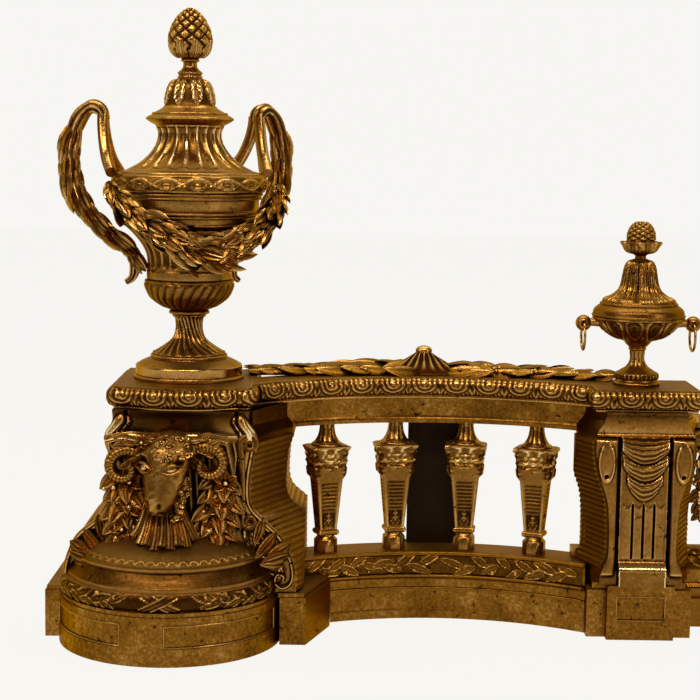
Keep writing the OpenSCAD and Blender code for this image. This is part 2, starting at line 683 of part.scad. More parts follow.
cone_outline = concat([[8.8, 0], [8.8, 2], [7, 3.5]], smooth([[5.6, 5], [5.3, 9], [6.8, 11.5]]),
    smooth([[8, 13], [14, 16], [cone_r - 0.6, 22], [cone_r, 28], [cone_r - 2, 36], [cone_r - 6.5, 43],
    [4, cone_h - 2], [0.6, cone_h]]));
nut_depth = 14;

module urn_foot() color("goldenrod") at_large() turned(foot_outline, rail_h, rod_r + rod_gap);
module urn_bowl() color("darkgoldenrod") at_large()
    hollow(bowl_outline, bowl_z, rod_r + rod_gap, wall, wall + 2, bowl_h + 1);
module urn_body() color("goldenrod") at_large()
    hollow(body_outline, body_z, rod_r + rod_gap, wall, wall + 1, body_h + 1);
module urn_neck() color("darkgoldenrod") at_large()
    hollow(neck_outline, neck_z, rod_r + rod_gap, wall, -1, neck_h - wall);
module urn_dome() color("goldenrod") at_large()
    hollow(dome_outline, dome_z, rod_r + rod_gap, wall, -1, dome_h - wall - 4);

module pinecone() {
    color("darkgoldenrod") at_large() difference() {
        turned(cone_outline, cone_z);
        translate([0, 0, cone_z - 1]) cylinder(r = rod_r + rod_gap, h = nut_depth + 1);
    }
}

// Centre line of a handle's outer strap and of its inner leg, as [distance from the axis, height]
// above the joint between body and neck
strap_line = smooth([[63, 52], [66, 59.5], [73, 62], [81, 55], [86.5, 42], [88.5, 27], [88, 12],
    [83, -3], [75, -15.5], [64.5, -27], [53, -36], [44.5, -45], [41, -55], [42.5, -64], [47.5, -68]], 2);
leg_line = smooth([[64, 57], [64, 48], [63, 36], [61, 24], [57.5, 14]], 2);

module handle() {
    strap = [for (p = strap_line) [p.x, 0, neck_z + p.y]];
    n = len(strap) - 1;
    strap_size = [for (i = [0 : n]) let (k = i / n) [7.5 + 2 * sin(180 * k) - 2 * k,
        4.5 + 3 * sin(180 * min(1, k * 1.4)) - (k > 0.9 ? 2 : 0)]];
    swept(strap, [for (p = strap) [0, 1, 0]], strap_size, oval(10));
    for (side = [-1, 1]) {
        leg = [for (i = [0 : len(leg_line) - 1]) let (k = i / (len(leg_line) - 1), p = leg_line[i])
            [p.x - 2.5 * k * k, side * (3 + (leg_spread - 3) * k * k), neck_z + p.y]];
        swept(leg, [for (p = leg) [0, 1, 0]], [for (p = leg) [4.6, 4.2]], oval(8));
    }
}

module handles() {
    color("goldenrod") at_large() difference() {
        for (turn = [180, handle_turn]) rotate([0, 0, turn]) handle();
        turned([for (p = body_outline) [p.x + 0.3, p.y]], body_z);
        turned([for (p = neck_outline) [p.x + 0.3, p.y]], neck_z);
        turned([for (p = bowl_outline) [p.x + 0.3, p.y]], bowl_z);
    }
}

// Path of the laurel swag from one handle round the front to the other, as [azimuth, radius, height]
swag_line = smooth([[213, 66, 6], [222, 65.5, -3], [236, 63.5, -15], [256, 58, -28], [276, 52, -37],
    [294, 50, -40], [312, 54, -36], [330, 61, -26], [346, 65.5, -14], [358, 66.5, -3], [364, 66.5, 6]], 2);

module swag() {
    path = [for (p = swag_line) [p.y * cos(p.x), p.y * sin(p.x), neck_z + p.z]];
    n = len(path) - 1;
    color("darkgoldenrod") at_large() difference() {
        swept(path, [for (p = path) unit([p.x, p.y, 0])],
            [for (i = [0 : n]) let (k = sin(180 * i / n)) [4.5 + 4 * k, 5 + 6 * k]], oval(8));
        turned([for (p = body_outline) [p.x + 0.3, p.y]], body_z);
        turned([for (p = neck_outline) [p.x + 0.3, p.y]], neck_z);
    }
}

// ---- Small urn ----

cup_foot_outline = concat([[cup_foot_r, 0], [cup_foot_r, 3], [cup_foot_r - 1.2, 4], [cup_foot_r - 2, 5],
    [cup_foot_r - 2, 9], [cup_foot_r - 3.5, 10]], smooth([[cup_foot_r - 5, 11], [8, 14], [5.8, 17.5],
    [5.2, 21], [5.8, 26]]), [[6.8, 27], [8.5, 29.5], [10, cup_foot_h]]);
cup_bowl_outline = concat([[10, 0]], smooth([[11.5, 0.8], [20, 3.5], [27.5, 9], [32, 14.5]]),
    [[cup_r - 1, cup_bowl_h - 1.5], [cup_r - 0.3, cup_bowl_h]]);
cup_lid_outline = concat([[cup_r - 0.3, 0], [cup_r, 1], [cup_r - 0.5, 3]],
    smooth([[cup_r - 2, 6], [cup_r - 5.5, 8.5]]), [[cup_r - 6, 9], [cup_r - 6.4, 11.5]],
    smooth([[cup_r - 8, 13], [18, 17.5], [14.6, 23], [13, 30], [11.5, 37], [9, 41]]),
    [[6, cup_lid_h - 0.5], [6, cup_lid_h]]);
berry_outline = concat([[4.3, 0], [4.1, 2.5]], smooth([[6, 3.5], [11, 5.5], [13.5, 9], [15, 12]]),
    [[12, 12.5]], smooth([[10, 13.5], [9.8, 19], [7.5, 24], [4, berry_h - 1.2], [0.6, berry_h]]));
cup_rod = rod_r + rod_gap - 1;

module cup_foot() color("darkgoldenrod") at_cup() turned(cup_foot_outline, rail_h, cup_rod);

module cup_bowl() {
    color("goldenrod") at_cup() difference() {
        union() {
            turned(cup_bowl_outline, cup_z);
            for (side = [-1, 1]) translate([side * lug_x, 0, lug_z]) {
                sphere(r = lug_r);
                translate([side > 0 ? -lug_x + 24 : 0, 0, 0]) rotate([0, 90, 0])
                    cylinder(r = 3, h = lug_x - 24);
            }
        }
        translate([0, 0, cup_z - 1]) cylinder(r = cup_rod, h = cup_bowl_h + 2);
        for (side = [-1, 1]) translate([side * lug_x, 0, lug_z]) rotate([90, 0, 0])
            cylinder(r = lug_hole_r, h = 4 * lug_r, center = true);
        translate([-far / 2, -far / 2, lid_z]) cube(far);
    }
}

module cup_lid() color("darkgoldenrod") at_cup() turned(cup_lid_outline, lid_z, cup_rod);

module cup_finial() {
    color("darkgoldenrod") at_cup() difference() {
        turned(berry_outline, berry_z);
        translate([0, 0, berry_z - 1]) cylinder(r = cup_rod, h = nut_depth - 3);
    }
}

// A loose ring hangs in the lug's hole, its wire at the hole's top when it is at rest
module ring(side) {
    sag = ring_r - sqrt(ring_r * ring_r - lug_r * lug_r);
    color("saddlebrown") at_cup() translate([side * lug_x, 0, lug_z - ring_r + sag / 2])
        rotate([0, 90, 0]) rotate_extrude() translate([ring_r, 0]) circle(ring_wire);
}

// ---- Centre ----

centre_half = centre_len / 2 + overlap;

// Section of a rail in Y and Z, carried along X
module along_x(half) {
    rotate([90, 0, 90]) translate([0, 0, -half]) linear_extrude(2 * half) children();
}

module centre_top_rail() {
    bead = 8;
    color("goldenrod") along_x(centre_half) translate([0, centre_top_z]) polygon(concat(
        [[centre_back, 0], [centre_front + 3, 0]],
        [for (a = [-80 : 20 : 80]) [centre_front + bead - bead * cos(a), bead + bead * sin(a)]],
        [[centre_front + 3, 2 * bead], [centre_front + 1.5, 2 * bead + 0.5],
        [centre_front + 1.5, 2 * bead + 2.5], [centre_front + 5, 2 * bead + 3.5],
        [centre_back - 2, centre_top_h], [centre_back, centre_top_h]]));
}

module centre_base_rail() {
    band = [33, 56];
    color("darkgoldenrod") along_x(centre_half) polygon(concat([[centre_back, 0], [centre_front, 0],
        [centre_front, 22], [centre_front + 4, 23], [centre_front + 4, 29], [centre_front + 1, 31]],
        [for (a = [-70 : 20 : 70]) [centre_front + 4 - 3.5 * cos(a), (band.x + band.y) / 2 + 11.5 * sin(a)]],
        [[centre_front + 1, band.y + 1], [centre_front + 1, centre_base_h - 1],
        [centre_front + 2, centre_base_h], [centre_back, centre_base_h],
        [centre_back, centre_base_h - 30], [centre_back - 4, centre_base_h - 30],
        [centre_back - 4, centre_base_h - wall], [centre_front + wall, centre_base_h - wall],
        [centre_front + wall, 20], [centre_back, 20]]));
}

wreath_r = (centre_top_z - centre_base_h) / 2 - wreath_t;
wreath_z = (centre_top_z + centre_base_h) / 2;

// Laurel wreath that stands between the centre rails, with a rosette on a cross
module centre_wreath() {
    color("goldenrod") difference() {
        translate([0, 1, wreath_z]) rotate([90, 0, 0]) union() {
            rotate_extrude() translate([wreath_r, 0]) circle(wreath_t);
            for (a = [0 : 90 : 270]) rotate([0, 0, a + 45]) translate([0, -2.5, -2])
                cube([wreath_r, 5, 4]);
            cylinder(r = 11, h = 9, center = true);
            sphere(r = 7.5);
            for (side = [-1, 1]) translate([-9, side > 0 ? wreath_r : -wreath_r - wreath_t, -5])
                cube([18, wreath_t, 10]);
        }
        translate([-far / 2, -far / 2, centre_top_z]) cube(far);
        translate([-far / 2, -far / 2, centre_base_h - far]) cube(far);
    }
}

// Two laurel swags under the centre top rail, each with a drop of fruit at its outer end
module centre_swags() {
    start = centre_len / 2 - 13;
    stop = wreath_r + wreath_t + 3;
    dip = 30;
    steps = [for (k = [0 : 1 / 16 : 1]) k];
    path = [for (k = steps) [-start + k * (start - stop), 0, centre_top_z - 2 - dip * 4 * k * (1 - k)]];
    size = [for (k = steps) [3.5 + 2.5 * sin(180 * k), 4 + 4 * sin(180 * k)]];
    drop = smooth([[1, 0], [4, 4], [5.2, 9], [4, 13], [6, 20], [5, 26], [6.5, 34], [5.5, 41], [6.8, 48],
        [4, 56]], 3);
    color("darkgoldenrod") for (side = [0, 1]) mirror([side, 0, 0]) difference() {
        union() {
            swept(path, [for (p = path) [0, -1, 0]], size, oval(8));
            translate([-start, 0, 0]) turned(drop, centre_top_z - 55);
        }
        translate([-far / 2, -far / 2, centre_top_z]) cube(far);
    }
}

// ---- Iron and fixings ----

module andiron() {
    plate_y = curve_c.y + rail_back + fit_gap;
    foot_w = 2 * bar_w;
    color("dimgray") translate([curve_c.x, plate_y, 0]) {
        translate([-iron_w / 2, 0, 0]) cube([iron_w, iron_t, rail_h - 4]);
        translate([-bar_w / 2, iron_t - 1, bar_z - 16]) cube([bar_w, bar_len, 16]);
        translate([-bar_w / 2, iron_t + bar_len - 11, 8]) cube([bar_w, 10, bar_z - 16]);
        translate([-foot_w / 2, iron_t + bar_len - 13, 0]) cube([foot_w, 14, 8.5]);
    }
}

// Tie rods and nuts of both urns, and the keepers behind the small pedestal that guide the rails
module fixings() {
    nut_h = 5;
    gap = slide_gap;
    keeper_x = small_x + 23;
    keeper_w = 6;
    color("peru") {
        at_large() {
            translate([0, 0, cap_z - wall - nut_h]) cylinder(r = rod_r, h = cone_z - cap_z + wall + nut_h
                + nut_depth - 1);
            translate([0, 0, cap_z - wall - nut_h - fit_gap]) cylinder(r = 2 * rod_r, h = nut_h, $fn = 6);
        }
        at_cup() {
            translate([0, 0, cap_z - wall - nut_h]) cylinder(r = rod_r - 1, h = berry_z - cap_z + wall
                + nut_h + nut_depth - 5);
            translate([0, 0, cap_z - wall - nut_h - fit_gap]) cylinder(r = 2 * rod_r - 2, h = nut_h,
                $fn = 6);
        }
        translate([keeper_x, 0, 0]) {
            translate([0, small_rear, centre_top_z - gap - keeper_t])
                cube([keeper_w, centre_back + gap - small_rear + keeper_t, keeper_t]);
            translate([0, centre_back + gap, centre_top_z - gap - keeper_t])
                cube([keeper_w, keeper_t, centre_top_h + 2 * gap + 2 * keeper_t]);
            translate([0, small_rear, centre_top_z + centre_top_h + gap])
                cube([keeper_w, centre_back + gap - small_rear + keeper_t, keeper_t]);
            translate([0, small_rear, centre_base_h + gap])
                cube([keeper_w, centre_back + gap - small_rear + keeper_t, keeper_t]);
            translate([0, centre_back + gap, centre_base_h - 30])
                cube([keeper_w, keeper_t, 30 + gap + keeper_t]);
        }
    }
}

plinth();  // left_plinth
pedestal();  // left_pedestal
scrolls();  // left_scrolls
ram_mount();  // left_ram_mount
top_rail();  // left_top_rail
rail_garland();  // left_rail_garland
balusters();  // left_balusters
base_rail();  // left_base_rail
small_plinth();  // left_small_plinth
small_pedestal();  // left_small_pedestal
drapery();  // left_drapery
urn_foot();  // left_urn_foot
urn_bowl();  // left_urn_bowl
urn_body();  // left_urn_body
urn_neck();  // left_urn_neck
urn_dome();  // left_urn_dome
pinecone();  // left_pinecone
handles();  // left_handles
swag();  // left_swag
cup_foot();  // left_cup_foot
cup_bowl();  // left_cup_bowl
cup_lid();  // left_cup_lid
cup_finial();  // left_cup_finial
ring(-1);  // left_ring_outer
ring(1);  // left_ring_inner
andiron();  // left_andiron
fixings();  // left_fixings
mirrored() plinth();  // right_plinth
mirrored() pedestal();  // right_pedestal
mirrored() scrolls();  // right_scrolls
mirrored() ram_mount();  // right_ram_mount
mirrored() top_rail();  // right_top_rail
mirrored() rail_garland();  // right_rail_garland
mirrored() balusters();  // right_balusters
mirrored() base_rail();  // right_base_rail
mirrored() small_plinth();  // right_small_plinth
mirrored() small_pedestal();  // right_small_pedestal
mirrored() drapery();  // right_drapery
mirrored() urn_foot();  // right_urn_foot
mirrored() urn_bowl();  // right_urn_bowl
mirrored() urn_body();  // right_urn_body
mirrored() urn_neck();  // right_urn_neck
mirrored() urn_dome();  // right_urn_dome
mirrored() pinecone();  // right_pinecone
mirrored() handles();  // right_handles
mirrored() swag();  // right_swag
mirrored() cup_foot();  // right_cup_foot
mirrored() cup_bowl();  // right_cup_bowl
mirrored() cup_lid();  // right_cup_lid
mirrored() cup_finial();  // right_cup_finial
mirrored() ring(-1);  // right_ring_outer
mirrored() ring(1);  // right_ring_inner
mirrored() andiron();  // right_andiron
mirrored() fixings();  // right_fixings
centre_top_rail();
centre_base_rail();
centre_wreath();
centre_swags();
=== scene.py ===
import bpy
import numpy as np
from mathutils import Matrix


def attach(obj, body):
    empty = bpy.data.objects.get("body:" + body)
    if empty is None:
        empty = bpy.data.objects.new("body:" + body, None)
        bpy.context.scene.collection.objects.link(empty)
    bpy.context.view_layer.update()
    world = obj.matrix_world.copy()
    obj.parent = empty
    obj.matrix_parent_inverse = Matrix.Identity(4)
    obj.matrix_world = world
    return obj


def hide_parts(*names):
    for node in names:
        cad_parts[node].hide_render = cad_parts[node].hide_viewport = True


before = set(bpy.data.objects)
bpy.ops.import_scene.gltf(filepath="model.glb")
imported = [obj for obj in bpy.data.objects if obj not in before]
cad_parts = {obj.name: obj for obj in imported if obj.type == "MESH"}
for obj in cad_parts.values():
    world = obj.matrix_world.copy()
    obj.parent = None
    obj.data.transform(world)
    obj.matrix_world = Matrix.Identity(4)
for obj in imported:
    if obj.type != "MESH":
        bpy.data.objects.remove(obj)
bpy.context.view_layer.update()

# ---- Studio ----
# A pale floor and backdrop, a big soft lamp on the left, a smaller one on the right and two strips above.
# The camera stands in front of the left section, a little above its rail, tipped down and rolled slightly.

PALE = "#F7F6F2"
EYE = (-0.440, -1.2776, 0.3609)
PITCH, ROLL = np.radians((6.77, 0.86))
FOCAL_PIXELS, PHOTO_PIXELS, SENSOR_MM = 1697.3, 700, 36


def linear(code):
    """Linear RGBA from an sRGB hex code: each channel c becomes ((c + 0.055) / 1.055) to the power 2.4."""
    v = np.array([int(code[i:i + 2], 16) / 255 for i in (1, 3, 5)])
    return (*np.where(v < 0.0405, v / 12.92, ((v + 0.055) / 1.055) ** 2.4), 1.0)


def cleared(owner):
    """The empty node tree of a world or material."""
    owner.use_nodes = True
    owner.node_tree.nodes.clear()
    return owner.node_tree


def add(tree, kind, inputs=None, stops=None, **settings):
    """Adds a shader node: settings are its properties, inputs are linked if they are sockets and set
    if they are values, and stops are the places and colours of a colour ramp."""
    node = tree.nodes.new("ShaderNode" + kind)
    for name, value in settings.items():
        setattr(node, name, value)
    for name, value in (inputs or {}).items():
        if isinstance(value, bpy.types.NodeSocket):
            tree.links.new(value, node.inputs[name])
        else:
            node.inputs[name].default_value = value
    if stops:
        row = node.color_ramp.elements
        while len(row) < len(stops):
            row.new(1.0)
        for element, (place, code) in zip(row, stops):
            element.position = place
            element.color = linear(code)
    return node


def maths(tree, operation, *values):
    """Result of one operation on two or three values or sockets."""
    return add(tree, "Math", dict(enumerate(values)), operation=operation).outputs[0]


def mapped(tree, value, low, high, start=0.0, stop=1.0, kind="SMOOTHSTEP"):
    """Result of a value whose range from low to high is carried to start to stop."""
    return add(tree, "MapRange", {"Value": value, "From Min": low, "From Max": high, "To Min": start,
                                  "To Max": stop}, interpolation_type=kind).outputs["Result"]


def mixed(tree, factor, first, second):
    """Colour between a first and a second one."""
    return add(tree, "Mix", {"Factor": factor, 6: first, 7: second}, data_type="RGBA").outputs[2]


def placed(name, data, right, up, back, place):
    """A camera or lamp at a place, with its right, up and backward axes as its matrix's columns."""
    item = bpy.data.objects.new(name, data)
    matrix = np.eye(4)
    matrix[:3] = np.stack([right, up, back, place], 1)
    item.matrix_world = matrix.T.tolist()
    bpy.context.scene.collection.objects.link(item)
    return item


def studio_camera():
    """Level and rising axes from the pitch, each turned by the roll towards the other."""
    level, rise = np.array([1.0, 0.0, 0.0]), np.array([0.0, np.sin(PITCH), np.cos(PITCH)])
    right = np.cos(ROLL) * level + np.sin(ROLL) * rise
    up = np.cos(ROLL) * rise - np.sin(ROLL) * level
    lens = bpy.data.cameras.new("camera")
    lens.sensor_width = SENSOR_MM
    lens.lens = FOCAL_PIXELS * SENSOR_MM / PHOTO_PIXELS
    lens.clip_end = 20
    bpy.context.scene.camera = placed("camera", lens, right, up, np.cross(right, up), EYE)


def soft_lamp(name, place, aim, width, height, watts, tint):
    """A rectangular area lamp whose -Z axis points from its place to its aim."""
    lamp = bpy.data.lights.new(name, "AREA")
    lamp.shape, lamp.size, lamp.size_y = "RECTANGLE", width, height
    lamp.energy, lamp.color = watts, linear(tint)[:3]
    back = np.subtract(place, aim) / np.linalg.norm(np.subtract(place, aim))
    side = np.cross((0, 0, 1), back)
    side /= np.linalg.norm(side)
    placed(name, lamp, side, np.cross(back, side), back, place)


def studio_world():
    """Pale for all that faces the backdrop, and a dim warm room behind the camera, blended on Y."""
    world = bpy.context.scene.world = bpy.data.worlds.new("studio")
    tree = cleared(world)
    way = add(tree, "SeparateXYZ", {"Vector": add(tree, "TexCoord").outputs["Generated"]})
    room = mixed(tree, mapped(tree, way.outputs["Y"], -0.25, 0.45), linear("#57493A"), linear(PALE))
    seen = add(tree, "LightPath").outputs["Is Camera Ray"]
    glow = add(tree, "Background", {"Color": mixed(tree, seen, room, linear(PALE)), "Strength": 1.0})
    add(tree, "OutputWorld", {"Surface": glow.outputs[0]})


def studio_floor():
    """A flat square under the object: mostly its own pale colour to the camera, and matt for its shadow."""
    mesh = bpy.data.meshes.new("floor")
    mesh.from_pydata([(-6, -6, 0), (6, -6, 0), (6, 6, 0), (-6, 6, 0)], [], [(0, 1, 2, 3)])
    floor = bpy.data.objects.new("floor", mesh)
    bpy.context.scene.collection.objects.link(floor)
    paper = bpy.data.materials.new("matt_paper")
    tree = cleared(paper)
    matt = add(tree, "BsdfDiffuse", {"Color": linear("#EDEBE6")})
    plain = add(tree, "Emission", {"Color": linear(PALE), "Strength": 1.0})
    seen = add(tree, "LightPath").outputs
    share = maths(tree, "MULTIPLY", maths(tree, "MAXIMUM", seen["Is Camera Ray"], seen["Is Glossy Ray"]), 0.975)
    both = add(tree, "MixShader", {0: share, 1: matt.outputs[0], 2: plain.outputs[0]})
    add(tree, "OutputMaterial", {"Surface": both.outputs[0]})
    mesh.materials.append(paper)


bpy.context.scene.view_settings.view_transform = "Standard"
studio_camera()
studio_world()
studio_floor()
soft_lamp("window", (-2.3, -1.7, 1.9), (-0.45, 0, 0.2), 1.2, 1.6, 27, "#FFF6E8")
soft_lamp("side_window", (1.5, -1.9, 1.1), (-0.4, 0, 0.2), 0.5, 1.4, 13, "#FFF3E0")
soft_lamp("front_strip", (-0.5, -1.5, 2.0), (-0.45, 0, 0.25), 1.5, 0.35, 27, "#FFF2DC")
soft_lamp("ceiling_strip", (-0.4, 0.3, 2.4), (-0.4, 0, 0.2), 2.4, 0.6, 24, "#FFFFFF")

# ---- Finishes of the metal ----
# Mercury-gilt cast bronze: bright gold and painted highlights on what stands proud, brown wax and dirt with painted
# shade in the recesses, and a dull brown film of dust on what faces up. The iron is black, rusty and dry.

# The palest stops give painted highlights on crests; the darkest give dirt and painted shade in recesses.
GILT = [(0.0, "#1A0C02"), (0.26, "#42260A"), (0.52, "#835922"), (0.78, "#BC8E4A"), (1.0, "#F2D6A0")]
OLD_GILT = [(0.0, "#241203"), (0.3, "#4E2E08"), (0.6, "#86591A"), (1.0, "#D0A45A")]


def cast_metal(name, tones, rough, carved=True, level=0.62, film="#765420", film_share=0.75, mottle=0.3,
               wear=0.3, bare=1.0):
    """A cast, chased and gilt surface. The tone is the piece's own relief, from 0 in a recess to 1 on a
    crest, which paints shade and dirt into recesses and highlights onto crests, plus clouds of 30 mm and
    grains of 2 mm, less spots of 7 mm where the gilding has worn off; a film lies where the normal points up."""
    finish = bpy.data.materials.new(name)
    tree = cleared(finish)
    place = add(tree, "TexCoord").outputs["Object"]
    clouds, grains, pits, spots = (
        add(tree, "TexNoise", {"Vector": place, "Scale": scale, "Detail": detail, "Roughness": decay}).outputs[0]
        for scale, detail, decay in ((33.0, 4.0, 0.6), (420.0, 3.0, 0.65), (1300.0, 2.0, 0.5), (150.0, 5.0, 0.72)))
    # The relief tone: painted shade and dirt in recesses, painted highlights on crests.
    start = add(tree, "Attribute", attribute_name="relief").outputs["Fac"] if carved else level
    clouded = maths(tree, "MULTIPLY_ADD", clouds, mottle, start)
    grained = maths(tree, "SUBTRACT", maths(tree, "MULTIPLY_ADD", grains, mottle, clouded), mottle)
    tone = maths(tree, "ADD", grained, mapped(tree, spots, 0.6, 0.68, 0, -0.34 if carved else -wear))
    gold = add(tree, "ValToRGB", {"Fac": tone}, stops=tones).outputs["Color"]
    normal = add(tree, "SeparateXYZ", {"Vector": add(tree, "NewGeometry").outputs["Normal"]})
    dust = maths(tree, "MULTIPLY", mapped(tree, normal.outputs["Z"], 0.72, 0.98, 0, film_share),
                 mapped(tree, clouds, 0.3, 0.52, 0.45, kind="LINEAR"))
    dull = mapped(tree, tone, 0.15, 0.9, rough[1], rough[0], "LINEAR")
    bumps = maths(tree, "MULTIPLY_ADD", pits, 0.5, grains)
    shader = add(tree, "BsdfPrincipled", {
        "Base Color": mixed(tree, dust, gold, linear(film)),
        "Metallic": mapped(tree, dust, 0, 1, bare, 0.8 * bare, "LINEAR"),
        "Roughness": maths(tree, "MULTIPLY_ADD", dust, 0.22, dull),
        "Normal": add(tree, "Bump", {"Height": bumps, "Strength": 0.35, "Distance": 0.0004}).outputs[0],
        "Specular Tint": linear("#E2C08C")})
    add(tree, "OutputMaterial", {"Surface": shader.outputs[0]})
    return finish


gilt_carved = cast_metal("gilt_bronze_chased", GILT, (0.2, 0.42))
gilt_plain = cast_metal("gilt_bronze_plain", GILT, (0.16, 0.34), carved=False, level=0.6, mottle=0.22)
old_carved = cast_metal("worn_gilt_bronze_chased", OLD_GILT, (0.26, 0.48), film_share=0.85)
old_plain = cast_metal("worn_gilt_bronze_plain", OLD_GILT, (0.24, 0.44), carved=False, level=0.54,
                       mottle=0.72, wear=0.5)
patina = cast_metal("brown_patina_chased", [(0.0, "#2C1602"), (0.4, "#6A450C"), (0.75, "#98691C"),
                                            (1.0, "#CFA050")], (0.4, 0.56))
polished = cast_metal("burnished_gilt_band", GILT, (0.06, 0.14), carved=False, level=0.7, mottle=0.16,
                      wear=0.15)
brass = cast_metal("rubbed_brass", GILT, (0.2, 0.3), carved=False, level=0.7, mottle=0.15)
black_iron = cast_metal("dry_black_iron", [(0.0, "#140B07"), (0.5, "#261911"), (1.0, "#4E3A2C")],
                        (0.55, 0.75), carved=False, level=0.45, film="#2E241C", bare=0.6)

# ---- Large urn: foot ----
# Cast and turned bronze, held on a threaded rod: a polished vertical band, stepped mouldings, and a
# flaring stem with spiral flutes.

MM = 0.001
TURN = 2 * np.pi
LARGE = (-561.0, -10.0)  # the urn's axis
RAIL_TOP, BOWL_Z, BODY_Z, NECK_Z, LID_Z, CONE_Z = 188.0, 239.0, 262.0, 327.0, 376.0, 413.0


def softened(points, steps=5):
    """Catmull-Rom curve: each stretch blends its four nearest points with cubic weights of t."""
    p = np.array(points, float)
    p = np.vstack([2 * p[0] - p[1], p, 2 * p[-1] - p[-2]])
    t = (np.arange(steps) / steps)[:, None, None]
    a, b, c, d = p[None, :-3], p[None, 1:-2], p[None, 2:-1], p[None, 3:]
    curve = 0.5 * (2 * b + (c - a) * t + (2 * a - 5 * b + 4 * c - d) * t ** 2
                   + (3 * b - a - 3 * c + d) * t ** 3)
    return np.vstack([curve.transpose(1, 0, 2).reshape(-1, p.shape[1]), p[-2:-1]])


def arc(centre, radius, start, stop, steps=9, squash=1.0):
    """Points at centre + radius times (cos a, squash sin a), with a from start to stop in degrees."""
    a = np.radians(np.linspace(start, stop, steps))
    return np.stack([centre[0] + radius * np.cos(a), centre[1] + squash * radius * np.sin(a)], 1)


def read_off(table, runs, places):
    """Rows of a table, read off between its runs at the places."""
    return np.stack([np.interp(places, runs, column) for column in np.transpose(table)], 1)


def evenly(line, step):
    """The polyline again at steps of about the given length, with all its own corners kept."""
    line = np.array(line, float)
    run = np.concatenate([[0], np.cumsum(np.linalg.norm(np.diff(line, axis=0), axis=1))])
    keep = np.concatenate([[True], np.diff(run) > 1e-9])
    line, run = line[keep], run[keep]
    cuts = np.union1d(run, np.linspace(0, run[-1], max(2, int(run[-1] / step) + 1)))
    cuts = cuts[np.concatenate([[True], np.diff(cuts) > 0.02 * step])]
    cuts[-1] = run[-1]
    return read_off(line, run, cuts), cuts


def closed(grid, relief):
    """Faces for rows of points that each close on themselves, with both ends drawn in to one point."""
    rows, around = grid.shape[:2]
    i, j = np.meshgrid(np.arange(rows - 1), np.arange(around), indexing="ij")
    k = (j + 1) % around
    side = np.stack([i * around + j, i * around + k, (i + 1) * around + k, (i + 1) * around + j], -1)
    j = np.arange(around)
    k, none = (j + 1) % around, np.full(around, -1)
    first, last = rows * around, rows * around + 1
    low = np.stack([np.full(around, first), k, j, none], -1)
    top = (rows - 1) * around
    high = np.stack([np.full(around, last), top + j, top + k, none], -1)
    points = np.vstack([grid.reshape(-1, 3), grid[0].mean(0), grid[-1].mean(0)])
    tone = np.concatenate([relief.ravel(), [relief[0].mean(), relief[-1].mean()]])
    return points, np.vstack([side.reshape(-1, 4), low, high]), tone


def step_up(x, low, high):
    """0 below low, 1 above high, and t * t * (3 - 2 t) between them."""
    t = np.clip((x - low) / (high - low), 0, 1)
    return t * t * (3 - 2 * t)


def between(x, low, full, fade, high):
    """1 from full to fade and 0 outside low to high, with a smooth step at both ends."""
    return step_up(x, low, full) * (1 - step_up(x, fade, high))


def cells(angle, count, shift=0.0):
    """Place from -1 to 1 across each of a number of equal cells round the turn."""
    return 2 * ((count * angle / TURN + shift) % 1) - 1


def crest(x):
    """Half of 1 + cosine: 1 on a crest and 0 in a trough."""
    return 0.5 + 0.5 * np.cos(x)


def bump(x, middle, half):
    """A rounded bump: a crest at the middle, and 0 farther than half from it."""
    return crest(np.pi * np.clip((x - middle) / half, -1, 1))


def half_round(x):
    """The root of 1 less the square of x, and 0 beyond 1."""
    return np.sqrt(np.clip(1 - x ** 2, 0, 1))


def spokes(count):
    """Angles at equal steps round the turn."""
    return np.linspace(0, TURN, count, endpoint=False)


def unit(vectors, spare=0.0):
    """The vectors over their length, to which a spare amount may be added."""
    return vectors / (np.linalg.norm(vectors, axis=1)[:, None] + spare)


def turned(outline, foot_z, axis, around, carve=None, step=1.0):
    """A turned form: radius and height of the outline, carried round the axis. Carve takes the angle
    and the height of each point, and gives its lift along the normal and its tone from 0 to 1. The
    outline's first and last lines lie flat inside and stay undivided."""
    line, run = evenly(outline[1:-1], step)
    line = np.vstack([outline[0], line, outline[-1]])
    run = np.concatenate([[-1], run, [run[-1] + 1]])
    slope = unit(np.gradient(line, run, axis=0), 1e-9)
    angle = spokes(around)[None, :]
    height = line[:, 1:2] + 0 * angle
    lift, tone = carve(angle + 0 * height, height) if carve else (0 * height, 0.62 + 0 * height)
    radius = np.maximum(line[:, :1] + slope[:, 1:2] * lift, 0.05)
    grid = np.stack([axis[0] + radius * np.cos(angle), axis[1] + radius * np.sin(angle),
                     foot_z + height - slope[:, :1] * lift], -1)
    return closed(grid, tone)


def joined(parts):
    """One form from several closed forms."""
    counts = np.cumsum([0] + [len(part[0]) for part in parts[:-1]])
    faces = [np.where(part[1] < 0, -1, part[1] + start) for part, start in zip(parts, counts)]
    return np.vstack([part[0] for part in parts]), np.vstack(faces), np.concatenate([p[2] for p in parts])


